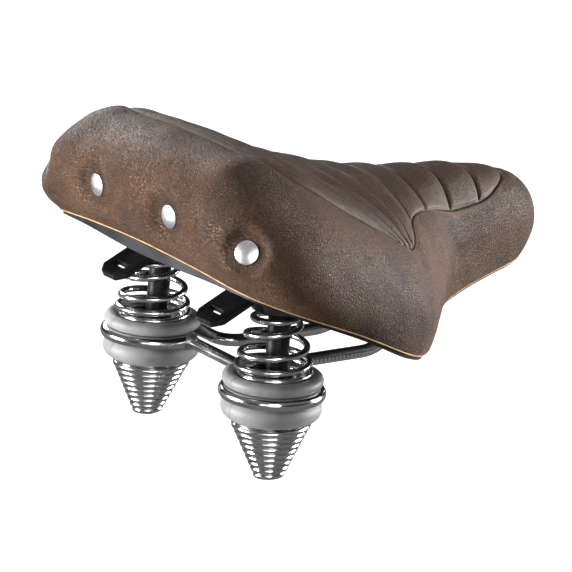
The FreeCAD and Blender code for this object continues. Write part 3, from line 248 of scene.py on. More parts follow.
def normals(loop, rise, step=0.002):
    """Outward unit normals of the plain surface."""
    loop, rise = np.broadcast_arrays(loop, rise)
    rise = np.clip(rise, 0.01, 2)
    along = raw_point(loop + step, rise) - raw_point(loop - step, rise)
    across = (raw_point(loop, np.clip(rise + step, 0, 2))
              - raw_point(loop, np.clip(rise - step, 0, 2)))
    normal = np.cross(across, along)
    normal /= np.maximum(np.linalg.norm(normal, axis=-1, keepdims=True), 1e-12)
    at = station(loop)
    outward = xyz_stack(at.wide_x - at.spine_x, at.wide_y, np.zeros_like(loop))
    wrong = np.where(rise <= 0.75, normal[..., 2] < 0, (normal * outward).sum(-1) < 0)
    return np.where(wrong[..., None], -normal, normal)


def flattened(points, flat_radius, reaches, lowest, highest):
    """Press the surface flat at each rivet seat, fading out at that rivet's reach."""
    for (seat, axis), reach in zip(RIVETS, reaches):
        for side in (1, -1):
            rivet_axis = np.array(axis) * (1, side, 1)
            offset = points - np.array(seat) * (1, side, 1)
            height = offset @ rivet_axis
            radius = np.sqrt(np.clip((offset * offset).sum(-1) - height * height, 0, None))
            press = unit(1 - (radius - flat_radius) / (reach - flat_radius))
            press = smooth(np.where((height < lowest) | (height > highest), 0, press))
            points = points - (height * press)[..., None] * rivet_axis
    return points


def rear_hollow(points):
    """Depth of the hollow from rivet to rivet round the back, less the rolls above and below."""
    x, y, z = points[..., 0], np.abs(points[..., 1]), points[..., 2]
    line = np.interp(y, [0, 30, 60, 90, 104, 118], [93, 92.5, 90, 86.5, 82, 74])
    back = smooth(unit((-x - 78) / 22)) * unit((104 - y) / 16)
    above = z - line
    return back * (0.8 * bell(above, 7.5) - 1.0 * bell(above + 13, 6.0)
                   - 0.8 * bell(above - 16, 9.0))


def ripple(points):
    """Slow unevenness of stuffed leather."""
    x, y, z = np.moveaxis(points, -1, 0) / 1000
    waves = (np.sin(141 * x + 62 * y + 1.1) * np.sin(118 * y - 77 * z + 0.4)
             + np.sin(203 * z + 91 * x + 2.2) * np.sin(171 * y + 55 * x + 0.9)
             + 0.6 * np.sin(310 * x - 240 * y + 190 * z))
    return 0.16 * waves


def corner_fold(points):
    """Depth of the pinch below the panel's outer corner, where the wing turns to the nose."""
    x, y, z = points[..., 0], np.abs(points[..., 1]), points[..., 2]
    down = unit((90 - z) / 45)
    from_x = x - (3.0 + 4.0 * down)
    from_y = y - (88 + 11 * down)
    near = bell(np.hypot(from_x, from_y), 22.0)
    fade = unit((z - 40) / 18)
    return near * fade * 1.5 * bell(from_x * 0.93 + from_y * 0.30, 4.2)


def skin(loop, rise, depth):
    """Surface at a given depth below the outer leather surface."""
    normal = normals(loop, rise)
    points = flattened(raw_point(loop, rise), 6.8, (18.0, 15.5), -2, 30)
    lift = ripple(points) - rear_hollow(points) - corner_fold(points)
    points = points + normal * lift[..., None]
    points = flattened(points, 7.2, (13.2, 13.2), -8, 20)
    return points - normal * np.broadcast_to(depth, normal.shape[:-1])[..., None]


def edge_in(loop, inward, up=0.0, step=0.003):
    """Cover edge moved inward in plan and up."""
    at, before, after = station(loop), station(loop - step), station(loop + step)
    run_x, run_y = after.edge_x - before.edge_x, after.edge_y - before.edge_y
    run = np.hypot(run_x, run_y)
    return xyz_stack(at.edge_x + run_y / run * inward, at.edge_y - run_x / run * inward,
                     at.edge_z + up)


def crown_height(x, y):
    """Height of the crown over a plan point."""
    y = np.maximum(np.abs(y), 0.05)

    def behind(loop):
        spine = CURVES.spine_x(loop)
        wide_y = np.maximum(CURVES.wide_y(loop), 1e-3)
        return spine + (CURVES.wide_x(loop) - spine) * y / wide_y - x < 0

    at = station(bisect(np.full(x.shape, 1e-5), np.full(x.shape, 1 - 1e-5), behind))
    return crown_surface(x, y, unit(y / np.maximum(at.wide_y, 1e-3)), at)


# ------------------------------------------------------------ panel outline
def outline():
    """Fine points along the left half of the panel outline."""
    length = arc_lengths(PANEL)
    knots = np.concatenate([-length[2:0:-1], length, 2 * length[-1] - length[-2:-4:-1]])
    mirror = (1, -1)
    points = np.vstack([PANEL[2:0:-1] * mirror, PANEL, PANEL[-2:-4:-1] * mirror])
    at = np.linspace(0, length[-1], 801)
    x, y = (natural(knots, column)(at) for column in points.T)
    return x, np.clip(y, 0, None)


OUT_X, OUT_Y = outline()


def inside(x, y):
    """Even-odd test of plan points against the whole outline."""
    from_x = np.concatenate([OUT_X, OUT_X[-2:0:-1]])
    from_y = np.concatenate([OUT_Y, -OUT_Y[-2:0:-1]])
    to_x, to_y = np.roll(from_x, -1), np.roll(from_y, -1)
    x, y = x[:, None], y[:, None]
    crosses = (from_y > y) != (to_y > y)
    with np.errstate(divide="ignore", invalid="ignore"):
        cross_x = (to_x - from_x) * (y - from_y) / (to_y - from_y) + from_x
    return (np.sum(crosses & (x < cross_x), axis=1) % 2) == 1


def panel_end(loop):
    """Share of the way from centre line to widest line at which the panel ends."""
    at = station(loop)
    return bisect(np.zeros_like(loop), np.ones_like(loop), lambda share: inside(
        at.spine_x + (at.wide_x - at.spine_x) * share, at.wide_y * share + 1e-4))


# ------------------------------------------------------------- mesh helpers
def mesh_from(name, points, closed_rows, closed_columns):
    """Smooth-shaded mesh from a grid of points in mm, each way closed or open."""
    rows, columns = points.shape[:2]
    i, j = np.meshgrid(np.arange(rows if closed_rows else rows - 1),
                       np.arange(columns if closed_columns else columns - 1), indexing="ij")
    next_i, next_j = (i + 1) % rows, (j + 1) % columns
    faces = np.stack([i * columns + j, next_i * columns + j, next_i * columns + next_j,
                      i * columns + next_j], -1).reshape(-1, 4)
    mesh = bpy.data.meshes.new(name)
    mesh.from_pydata((points.reshape(-1, 3) / 1000.0).tolist(), [], faces.tolist())
    mesh.validate()
    mesh.update()
    mesh.shade_smooth()
    obj = bpy.data.objects.new(name, mesh)
    scene.collection.objects.link(obj)
    return obj


def store(obj, name, values):
    """Store a 0..1 value per point for the material to read."""
    attribute = obj.data.attributes.new(name, "FLOAT", "POINT")
    attribute.data.foreach_set("value", unit(values).ravel())


def clean(obj, fill=True):
    """Weld doubled points, close end rings and turn faces outward."""
    bm = bmesh.new()
    bm.from_mesh(obj.data)
    bmesh.ops.remove_doubles(bm, verts=bm.verts, dist=1e-6)
    if fill:
        holes = [edge for edge in bm.edges if len(edge.link_faces) == 1]
        if holes:
            bmesh.ops.holes_fill(bm, edges=holes, sides=0)
    bmesh.ops.recalc_face_normals(bm, faces=bm.faces)
    bm.to_mesh(obj.data)
    bm.free()
    obj.data.shade_smooth()


def both_ways(half):
    """Half-loop rows, then the same rows back again without the two ends."""
    return np.concatenate([half, half[-2:0:-1]])


def mirrored(half):
    """Left half-loop points to the full loop."""
    full = both_ways(half)
    full[len(half):, ..., 1] *= -1
    return full


def ends_on_centre(half):
    half[0, :, 1] = 0
    half[-1, :, 1] = 0
    return half


def tube(path, radius, sides, closed=False):
    """Round tube grid round a path; parallel transport keeps it from twisting."""
    if closed:
        tangent = np.roll(path, -1, 0) - np.roll(path, 1, 0)
    else:
        tangent = np.gradient(path, axis=0)
    tangent /= np.linalg.norm(tangent, axis=1, keepdims=True)
    arm = np.cross(tangent[0], (0, 0, 1.0))
    arms = [arm / np.linalg.norm(arm)]
    for direction in tangent[1:]:
        arm = arms[-1] - direction * (arms[-1] @ direction)
        arms.append(arm / np.linalg.norm(arm))
    arms = np.array(arms)
    if closed:                                           # spread the leftover twist evenly
        last = arms[-1] - tangent[0] * (arms[-1] @ tangent[0])
        last /= np.linalg.norm(last)
        twist = math.atan2(np.cross(last, arms[0]) @ tangent[0], last @ arms[0])
        turn = np.linspace(0, twist, len(path))[:, None]
        arms = arms * np.cos(turn) + np.cross(tangent, arms) * np.sin(turn)
    angle = np.linspace(0, 2 * np.pi, sides, endpoint=False)[None, :, None]
    spokes = (np.cos(angle) * arms[:, None, :]
              + np.sin(angle) * np.cross(tangent, arms)[:, None, :])
    rings = path[:, None, :] + radius * spokes
    if closed:
        return rings

    def rounded_end(i, sign):
        return np.array([path[i] + sign * tangent[i] * radius * 0.45 * q
                         + (rings[i] - path[i]) * math.sqrt(1 - q * q) for q in (0.35, 0.7, 0.92)])

    return np.concatenate([rounded_end(0, -1)[::-1], rings, rounded_end(-1, 1)])


# ------------------------------------------------------------ leather cover
LOOP = np.concatenate([np.linspace(0, 0.34, 130, endpoint=False), np.linspace(0.34, 1, 120)])


def leather_cover():
    """Skin from the panel seam down to the edge, round the hem and back up inside."""
    at = station(LOOP)
    span = np.hypot(at.wide_x - at.spine_x, at.wide_y)
    share = panel_end(LOOP)[:, None] + SEAM_OUT / span[:, None]
    seam_rise = np.arcsin(unit(share)) * 2 / np.pi
    start = seam_rise[:, -1:]
    down = np.linspace(0, 1, 92)[1:]
    outer_rise = np.concatenate([seam_rise, start + (2.0 - start) * down], 1)
    outer_depth = np.concatenate([SEAM_DEPTH, -SEAM_SWELL * bell(down, 0.07)])
    outer = skin(LOOP[:, None], outer_rise, outer_depth)
    hem = np.stack([edge_in(LOOP, inward, up) for inward, up in HEM], 1)
    back_up = np.linspace(0.95, 0.0, 48)
    inner_rise = np.concatenate([start + (2.0 - start) * back_up, seam_rise[:, :1]], 1)
    inner_depth = np.append(LEATHER * np.ones(len(back_up)), 2 * LEATHER)
    inner = skin(LOOP[:, None], np.minimum(inner_rise, 1.97), inner_depth)
    half = ends_on_centre(np.concatenate([outer, hem, inner], 1))
    cover = mesh_from("leather_cover", mirrored(half), True, True)

    seams = len(SEAM_OUT)
    # painted shade: darkens the seam groove beside the panel, the dimples round the rivets, and
    # all of the hem and inner face of the cover
    cavity_shade = np.zeros(half.shape[:2])
    cavity_shade[:, :seams] = 0.7 * bell(SEAM_OUT, 0.55)
    for (seat, _), reach in zip(RIVETS, (15.0, 13.0)):
        radius = np.linalg.norm(half - np.array(seat), axis=-1)
        cavity_shade = np.maximum(cavity_shade, 0.62 * unit((reach - radius) / 8.5) ** 1.2)
    cavity_shade[:, outer_rise.shape[1]:] = 1.0
    store(cover, "cavity_shade", both_ways(cavity_shade))
    # painted highlight: a light line on the raised lip of the cover just outside the panel seam
    ridge_highlight = np.zeros(half.shape[:2])
    ridge_highlight[:, :seams] = 0.7 * bell(SEAM_OUT - 1.0, 0.5)
    store(cover, "ridge_highlight", both_ways(ridge_highlight))
    clean(cover, fill=False)
    return cover


# ------------------------------------------------------------- ribbed panel
ETA = np.linspace(0, 1, 96)          # 0 on the centre line, 1 at the outer end of a rib line
LAST_LINE = len(RIB_LINES) - 1
STRAIGHT_ENDS = 5                    # lines before this one blend with the rear outline
RIB_STEPS = np.array([0, 0.012, 0.028, 0.05, 0.085, 0.14, 0.22, 0.32, 0.43, 0.55, 0.66, 0.76,
                      0.85, 0.91, 0.95, 0.974, 0.99])


def nearest_on_outline(x, y):
    j = int(np.argmin(np.hypot(OUT_X - x, OUT_Y - y)))
    return j, np.array([OUT_X[j], OUT_Y[j]])


def rib_lines():
    """Plan points of the lines between ribs, left half: line, eta, xy."""
    def bowed(mid_x, end_x, end_y):
        return np.stack([mid_x + (end_x - mid_x) * ETA ** 2.0, end_y * ETA], -1)

    cut, _ = nearest_on_outline(*RIB_LINES[0][1:])
    rear = np.stack([OUT_X[:cut + 1], OUT_Y[:cut + 1]], -1)
    length = arc_lengths(rear)
    rear_line = np.stack([np.interp(ETA, length / length[-1], column) for column in rear.T], -1)
    front_line = bowed(*RIB_LINES[STRAIGHT_ENDS])
    rear_x, front_x = RIB_LINES[0][0], RIB_LINES[STRAIGHT_ENDS][0]
    lines = []
    for mid_x, end_x, end_y in RIB_LINES[:STRAIGHT_ENDS]:
        share = (mid_x - rear_x) / (front_x - rear_x)
        line = rear_line * (1 - share) + front_line * share
        lines.append(line + (np.array([end_x, end_y]) - line[-1]) * (ETA ** 3)[:, None])
    lines += [bowed(*row) for row in RIB_LINES[STRAIGHT_ENDS:]]
    return np.array(lines)


def panel_plan(lines, steps):
    """Left half of the panel's plan grid, brought onto the outline at its rim."""
    grid = np.zeros((len(steps), len(ETA), 2))
    for j in range(len(ETA)):
        for axis in (0, 1):
            grid[:, j, axis] = monotone(range(len(lines)), lines[:, j, axis])(steps)
    for row in grid:
        _, rim = nearest_on_outline(*row[-1])
        row += (rim - row[-1])[None] * (ETA ** 5)[:, None]
    for row in (grid[0], grid[-1]):
        for j in range(len(ETA)):
            row[j] = nearest_on_outline(*row[j])[1]
    grid[:, 0, 1] = 0.0
    return grid


def full_width(half, sign=1):
    """Centre-to-left columns to right-to-left columns."""
    return np.concatenate([sign * half[:, :0:-1], half], 1)


def ribbed_panel():
    """Padded ribs across the top, sewn down between them and at the rim."""
    lines = rib_lines()
    steps = np.concatenate([i + RIB_STEPS for i in range(LAST_LINE)] + [[float(LAST_LINE)]])
    grid = panel_plan(lines, steps)
    x = full_width(grid[:, :, 0])
    y = full_width(grid[:, :, 1], sign=-1)
    base = xyz_stack(x, y, crown_height(x, y))
    reach = 0.4
    slope_x = -(crown_height(x + reach, y) - crown_height(x - reach, y)) / (2 * reach)
    slope_y = -(crown_height(x, y + reach) - crown_height(x, y - reach)) / (2 * reach)
    normal = xyz_stack(slope_x, slope_y, np.ones_like(x))
    normal /= np.linalg.norm(normal, axis=-1, keepdims=True)

    rib = np.minimum(np.floor(steps), LAST_LINE - 1).astype(int)
    steps = steps[:, None]
    part = steps - rib[:, None]                           # 0 to 1 across each rib
    gap = lines[rib + 1] - lines[rib]
    spacing = full_width(np.hypot(gap[..., 0], gap[..., 1]))
    near = np.minimum(part, 1 - part) * spacing
    size = np.clip(spacing / 12.0, 0.15, 1.0)
    groove_width = 0.50 + 0.50 * unit(spacing / 14)
    groove = 2.0 * np.clip(spacing / 7.0, 0.35, 1.0) * bell(near, groove_width)
    bulge = ((1.75 - 0.85 * unit((steps - 4.5) / 3)) * size
             * (1 - np.abs(2 * part - 1) ** 2.2))
    lean = 0.35 * size * np.sin(np.pi * 2 * part)
    eta = np.concatenate([-ETA[:0:-1], ETA])
    side = (1 - np.abs(eta))[None, :] * np.maximum(np.abs(y[:, -1:]), 8)
    rim = np.maximum(bell(side, 1.1), bell(steps * spacing, 0.8))
    rim = np.maximum(rim, bell((LAST_LINE - steps) * spacing, 0.9))
    puff = unit(side / 12.0) ** 0.7
    lift = (bulge - lean) * puff - groove * (1 - rim) - 0.75 * rim - 0.55
    top = base + normal * lift[..., None] + normal * (0.5 * ripple(base))[..., None]
    under = base - normal * 3.3
    panel = mesh_from("ribbed_panel", np.concatenate([top, under[::-1]]), True, False)

    # painted shade: darkens the grooves between ribs, the sewn-down rim and the whole underside of
    # the panel
    cavity_shade = np.maximum(bell(near, groove_width * 1.1) * np.clip(spacing / 3.0, 0.6, 1),
                        0.6 * rim)
    store(panel, "cavity_shade", np.concatenate([cavity_shade, np.ones_like(cavity_shade)]))
    # painted highlight: a light line along the leading edge of each rib and just inside the panel
    # rim
    ridge_highlight = bell(part * spacing - 1.35, 0.5) * unit((spacing - 3) / 5)
    ridge_highlight = np.maximum(ridge_highlight, 0.5 * bell(side - 1.3, 0.45))
    store(panel, "ridge_highlight", np.concatenate([ridge_highlight, np.zeros_like(ridge_highlight)]))
    clean(panel)
    return panel


# ------------------------------------------------------- foam core and piping
UNDER_STEPS = np.array([1.0, 0.94, 0.87, 0.78, 0.68, 0.56, 0.44, 0.32, 0.2, 0.1, 0])


def foam_core():
    """Pad under the cover, with a domed underside."""
    loop = LOOP[::3]
    rise = np.concatenate([np.linspace(0, 0.8, 14, endpoint=False), np.linspace(0.8, 1.66, 22)])
    depth = np.interp(rise, [0, 0.9, 1.3, 1.66], [4.2, 4.2, 2.8, 2.6])
    top = skin(loop[:, None], rise[None, :], depth)
    spine = station(loop).spine_x[:, None]
    edge_x, edge_y, edge_z = np.moveaxis(edge_in(loop, 2.1), -1, 0)[..., None]
    share = 0.97 * UNDER_STEPS
    x = spine + (edge_x - spine) * share
    z = edge_z + 4 + (dome_z(x) - edge_z - 4) * (1 - share ** 2.4) + 0.9
    half = np.concatenate([top, xyz_stack(x, edge_y * share, z)], 1)
    ends_on_centre(half)
    half[:, [0, -1], 1] = 0
    foam = mesh_from("foam_core", mirrored(half), True, False)
    clean(foam)
    return foam


def edge_piping():
    path = mirrored(edge_in(LOOP, 0.62, -0.62))
    piping = mesh_from("edge_piping", tube(path, 0.50, sides=10, closed=True), True, True)
    clean(piping, fill=False)
    return piping


# ------------------------------------------------------------------ springs
def coil(knots, side):
    """Centre line of a coil; its axis drifts outward below z -14."""
    turns, radii, heights = knots.T
    turn = np.linspace(turns[0], turns[-1], int((turns[-1] - turns[0]) * 44) + 1)
    angle = np.radians(35.0 - 360 * turn)
    radius, z = monotone(turns, radii)(turn), monotone(turns, heights)(turn)
    centre_y = SPRING_Y + 1.3 * np.clip(-14.0 - z, 0, None) / 33.0
    return xyz_stack(SPRING_X + radius * np.cos(angle),
                     side * centre_y + radius * np.sin(angle), z)


taper = TAPER_TOP + (TAPER_FOOT - TAPER_TOP) * np.linspace(0, 1, 10)[:, None]
# knots, body at the start, body at the end, z of start and end in metres
SPRING_KINDS = {
    "upper": (UPPER_COIL, "seat", "rail_frame", 0.0400, 0.0125),
    "cone": (np.vstack([CONE_HEAD, taper]), "rail_frame", "seat", -0.0155, -0.0450),
}


cover = leather_cover()
panel = ribbed_panel()
foam = foam_core()
piping = edge_piping()
springs = []
for side, word in ((1, "left"), (-1, "right")):
    for kind, (knots, *_) in SPRING_KINDS.items():
        spring = mesh_from("%s_coil_%s" % (kind, word),
                           tube(coil(knots, side), WIRE_RADIUS, sides=16), False, True)
        clean(spring)
        springs.append((spring, kind, side, word))


# --------------------------------------------------------- material helpers
def srgb(*levels):
    """Linear colour from 0..255 sRGB levels."""
    shares = [level / 255.0 for level in levels]
    return tuple(v / 12.92 if v <= 0.04045 else ((v + 0.055) / 1.055) ** 2.4
                 for v in shares) + (1.0,)


def grey(level, blue=None):
    return (level, level, level if blue is None else blue, 1)


SHADER_INPUTS = {"base": "Base Color", "rough": "Roughness", "metal": "Metallic",
                 "normal": "Normal", "spec": "Specular IOR Level", "sheen": "Sheen Weight",
                 "sheen_rough": "Sheen Roughness", "sheen_tint": "Sheen Tint"}


class Mat:
    """Small helper round a material's node tree."""

    def __init__(self, name):
        self.material = bpy.data.materials.new(name)
        self.material.use_nodes = True
        self.tree = self.material.node_tree
        self.bsdf = self.tree.nodes["Principled BSDF"]
        self.place = self.node("ShaderNodeTexCoord").outputs["Object"]

    def node(self, kind, inputs=None, **props):
        """New node; inputs maps socket keys to values or to sockets to link."""
        node = self.tree.nodes.new(kind)
        for key, value in props.items():
            setattr(node, key, value)
        for key, value in (inputs or {}).items():
            self.put(node.inputs[key], value)
        return node

    def put(self, socket, value):
        if isinstance(value, bpy.types.NodeSocket):
            self.tree.links.new(value, socket)
        else:
            socket.default_value = value

    def noise(self, scale, detail=3.0, rough=0.55, vec=None, distortion=0.0, out="Fac"):
        return self.node("ShaderNodeTexNoise", {
            "Vector": vec or self.place, "Scale": scale, "Detail": detail,
            "Roughness": rough, "Distortion": distortion}).outputs[out]

    def voronoi(self, scale, feature="F1", vec=None):
        return self.node("ShaderNodeTexVoronoi", {"Vector": vec or self.place, "Scale": scale},
                         feature=feature).outputs["Distance"]

    def band(self, fac, lo, hi, out_lo=0.0, out_hi=1.0):
        """Smooth step from out_lo to out_hi as fac goes from lo to hi."""
        return self.node("ShaderNodeMapRange", {"Value": fac, 1: lo, 2: hi, 3: out_lo, 4: out_hi},
                         interpolation_type="SMOOTHSTEP").outputs["Result"]

    def mix(self, fac, first, second):
        """Colour mix; sockets 0, 6, 7 and output 2 are the colour ones."""
        return self.node("ShaderNodeMix", {0: fac, 6: first, 7: second},
                         data_type="RGBA").outputs[2]

    def math(self, operation, *values):
        return self.node("ShaderNodeMath", dict(enumerate(values)),
                         operation=operation).outputs[0]

    def times(self, first, second):
        return self.math("MULTIPLY", first, second)

    def plus(self, first, second):
        return self.math("ADD", first, second)

    def xyz(self):
        return self.node("ShaderNodeSeparateXYZ", {0: self.place}).outputs

    def attribute(self, name):
        return self.node("ShaderNodeAttribute", attribute_name=name).outputs["Fac"]

    def bump(self, height, strength, distance, normal=None):
        inputs = {"Strength": strength, "Distance": distance, "Height": height}
        if normal is not None:
            inputs["Normal"] = normal
        return self.node("ShaderNodeBump", inputs).outputs["Normal"]

    def bevel(self, radius):
        return self.node("ShaderNodeBevel", {"Radius": radius}, samples=4).outputs[0]

    def set(self, **values):
        for key, value in values.items():
            self.put(self.bsdf.inputs[SHADER_INPUTS[key]], value)
        return self.material


# ---------------------------------------------------------------- materials
def leather(name, panel=False):
    """Brown grained leather; the panel version is darker and calmer, with a painted sheen that
    leaves its rear slightly greyer than its warmer, browner nose.
    """
    mat = Mat(name)
    big = mat.noise(scale=16, detail=4)
    mid = mat.noise(scale=70, detail=5, rough=0.6, distortion=0.3)

    # stretched, warped grain of large and fine cells
    creases = mat.node("ShaderNodeMapping", {
        "Vector": mat.place, "Scale": (1.0, 0.62, 1.35),
        "Rotation": (0.35, 0.25, 0.6)}).outputs["Vector"]
    wander = mat.noise(scale=210, rough=0.5, vec=creases, out="Color")
    shift = mat.node("ShaderNodeVectorMath", {0: wander}, operation="SCALE")
    shift.inputs["Scale"].default_value = 0.0018
    warp = mat.node("ShaderNodeVectorMath", {0: creases, 1: shift.outputs[0]},
                    operation="ADD").outputs[0]
    cells = mat.band(mat.voronoi(600, "DISTANCE_TO_EDGE", warp), lo=0.0, hi=0.16)
    fine = mat.band(mat.voronoi(1350, "DISTANCE_TO_EDGE", warp), lo=0.0, hi=0.20)
    pores = mat.noise(scale=1500, detail=2, rough=0.5)
    height = mat.plus(mat.times(cells, 0.6), mat.times(fine, 0.4))
    height = mat.plus(height, mat.times(pores, 0.35))

    if panel:
        # painted sheen: the rear of the panel gets lighter greyish patches standing in for
        # grazing-light sheen, fading to the plain brown nose
        front = mat.band(mat.xyz()[0], lo=0.020, hi=0.085)
        base = mat.mix(big, srgb(46, 34, 25), srgb(68, 53, 42))
        base = mat.mix(mat.times(mat.band(mid, lo=0.4, hi=0.75), 0.6), base, srgb(78, 63, 51))
        nose = mat.mix(big, srgb(50, 37, 28), srgb(76, 59, 46))
        base = mat.mix(front, base, nose)
    else:
        base = mat.mix(mat.band(big, lo=0.36, hi=0.64), srgb(50, 31, 18), srgb(84, 57, 36))
        base = mat.mix(mat.times(mat.band(mid, lo=0.5, hi=0.78), 0.65), base,
                       srgb(104, 76, 53))
    fleck_amount, dark_amount, grain_bump = (0.30, 0.45, 0.45) if panel else (0.60, 0.74, 0.85)
    flecks = mat.times(mat.band(mat.noise(scale=640, rough=0.6, vec=warp), lo=0.50, hi=0.66),
                       mat.band(mat.noise(scale=38, rough=0.6), lo=0.34, hi=0.66))
    colour = mat.mix(mat.times(flecks, fleck_amount), base, srgb(142, 99, 63))
    dark = mat.math("SUBTRACT", 1.0,
                    mat.times(cells, mat.band(fine, lo=0.0, hi=1.0, out_lo=0.55)))
    colour = mat.mix(mat.times(dark, dark_amount), colour, srgb(27, 19, 14))

    # painted highlights on the ridges, broken up by noise, and painted shade in the hollows, from
    # the values stored on the mesh
    highlight_breakup = mat.band(mat.noise(scale=900, detail=2, rough=0.6), lo=0.25, hi=0.6,
                    out_lo=0.25, out_hi=0.62)
    colour = mat.mix(mat.times(mat.attribute("ridge_highlight"), highlight_breakup), colour, srgb(140, 112, 86))
    colour = mat.mix(mat.times(mat.attribute("cavity_shade"), 0.85), colour, srgb(20, 14, 10))
    rough = mat.plus(mat.band(mid, lo=0.3, hi=0.8, out_lo=0.36, out_hi=0.50),
                     mat.times(dark, 0.18))
    soft = mat.bump(mid, strength=0.25, distance=0.0012)
    grain = mat.bump(height, strength=grain_bump, distance=0.00042, normal=soft)
    return mat.set(base=colour, rough=rough, normal=grain, spec=0.20, sheen=0.0,
                   sheen_rough=0.5, sheen_tint=srgb(200, 180, 165))


def chrome(name, tone, rough, ticks=False):
    """Polished metal; ticks adds dark graduation lines to the outer sides of the rails."""
    mat = Mat(name)
    fine = mat.noise(scale=900, detail=2, rough=0.5)
    haze = mat.noise(scale=45, detail=4, rough=0.6)
    base = mat.mix(mat.band(haze, lo=0.3, hi=0.8), grey(tone, tone * 1.01),
                   grey(tone * 0.86, tone * 0.88))
    gloss = mat.band(haze, lo=0.3, hi=0.8, out_lo=rough, out_hi=rough + 0.09)
    if ticks:
        pitch, line_share = 0.0025, 0.20
        x, y, z = (mat.xyz()[i] for i in range(3))
        step = mat.math("FRACT", mat.math("DIVIDE", mat.plus(x, 0.5), pitch))
        line = mat.math("LESS_THAN", step, line_share)
        span = mat.times(mat.math("GREATER_THAN", x, -0.0215), mat.math("LESS_THAN", x, 0.0205))
        level = mat.math("LESS_THAN", mat.math("ABSOLUTE", z), 0.0013)
        outer = mat.math("GREATER_THAN", mat.math("ABSOLUTE", y), 0.0232)
        mask = mat.times(mat.times(line, span), mat.times(level, outer))
        base = mat.mix(mask, base, grey(0.02, 0.022))
        gloss = mat.plus(gloss, mat.times(mask, 0.3))
    return mat.set(base=base, rough=gloss, metal=1.0,
                   normal=mat.bump(fine, strength=0.02, distance=0.0001))


def rubber(name):
    """Grey elastomer with a raised line fore and aft of each spring axis."""
    mat = Mat(name)
    x, y, _ = mat.xyz()
    fine = mat.noise(scale=1300, rough=0.6)
    soft = mat.noise(scale=55, detail=4)
    base = mat.mix(mat.band(soft, lo=0.3, hi=0.75), srgb(104, 104, 105), srgb(128, 128, 128))
    from_axis = mat.math("ABSOLUTE", mat.plus(x, -SPRING_X / 1000))
    from_line = mat.math("ABSOLUTE", mat.math("SUBTRACT", mat.math("ABSOLUTE", y),
                                              SPRING_Y / 1000))
    seam = mat.math("SUBTRACT", 1.0, mat.band(from_line, lo=0.0002, hi=0.0007))
    seam = mat.times(seam, mat.math("GREATER_THAN", from_axis, 0.015))
    base = mat.mix(mat.times(seam, 0.5), base, srgb(96, 97, 100))
    dust = mat.band(mat.noise(scale=240, rough=0.6), lo=0.62, hi=0.8)
    base = mat.mix(mat.times(dust, 0.25), base, srgb(176, 176, 178))
    ridge = mat.bump(seam, strength=0.6, distance=0.0005)
    return mat.set(base=base, rough=mat.band(soft, lo=0.3, hi=0.8, out_lo=0.50, out_hi=0.64),
                   spec=0.4, normal=mat.bump(fine, strength=0.22, distance=0.00012, normal=ridge))


def plastic(name, level, rough, grain, bevel):
    mat = Mat(name)
    fine = mat.noise(scale=1700, detail=2, rough=0.6)
    soft = mat.noise(scale=60, rough=0.5)
    base = mat.mix(mat.band(soft, lo=0.3, hi=0.75), srgb(level, level, level + 1),
                   srgb(level + 12, level + 12, level + 13))
    return mat.set(base=base, spec=0.36,
                   rough=mat.band(soft, lo=0.3, hi=0.8, out_lo=rough, out_hi=rough + 0.12),
                   normal=mat.bump(fine, grain, distance=0.00012, normal=mat.bevel(bevel)))


def steel(name, tone, rough):
    mat = Mat(name)
    swirl = mat.noise(scale=520, rough=0.6)
    spot = mat.noise(scale=120, detail=4, rough=0.6)
    base = mat.mix(mat.band(spot, lo=0.35, hi=0.8), grey(tone, tone * 1.02),
                   grey(tone * 0.7, tone * 0.73))
    return mat.set(base=base, metal=1.0,
                   rough=mat.band(swirl, lo=0.3, hi=0.8, out_lo=rough, out_hi=rough + 0.14),
                   normal=mat.bump(swirl, strength=0.06, distance=0.0001,
                                   normal=mat.bevel(0.0003)))


def yellow_foam(name):
    mat = Mat(name)
    cells = mat.voronoi(900)
    tone = mat.noise(scale=40, rough=0.5)
    base = mat.mix(mat.band(tone, lo=0.3, hi=0.8), srgb(196, 180, 142), srgb(170, 150, 112))
    base = mat.mix(mat.band(cells, lo=0.35, hi=0.7), base, srgb(120, 104, 76))
    return mat.set(base=base, rough=0.9, spec=0.2,
                   normal=mat.bump(cells, strength=0.6, distance=0.0005))


def cream_piping(name):
    mat = Mat(name)
    tone = mat.noise(scale=130, detail=4, rough=0.6)
    fibre = mat.noise(scale=1500, detail=2, rough=0.5)
    base = mat.mix(mat.band(tone, lo=0.3, hi=0.75), srgb(176, 142, 94), srgb(136, 106, 68))
    return mat.set(base=base, rough=mat.band(tone, lo=0.3, hi=0.8, out_lo=0.5, out_hi=0.7),
                   spec=0.35, normal=mat.bump(fibre, strength=0.35, distance=0.0002))


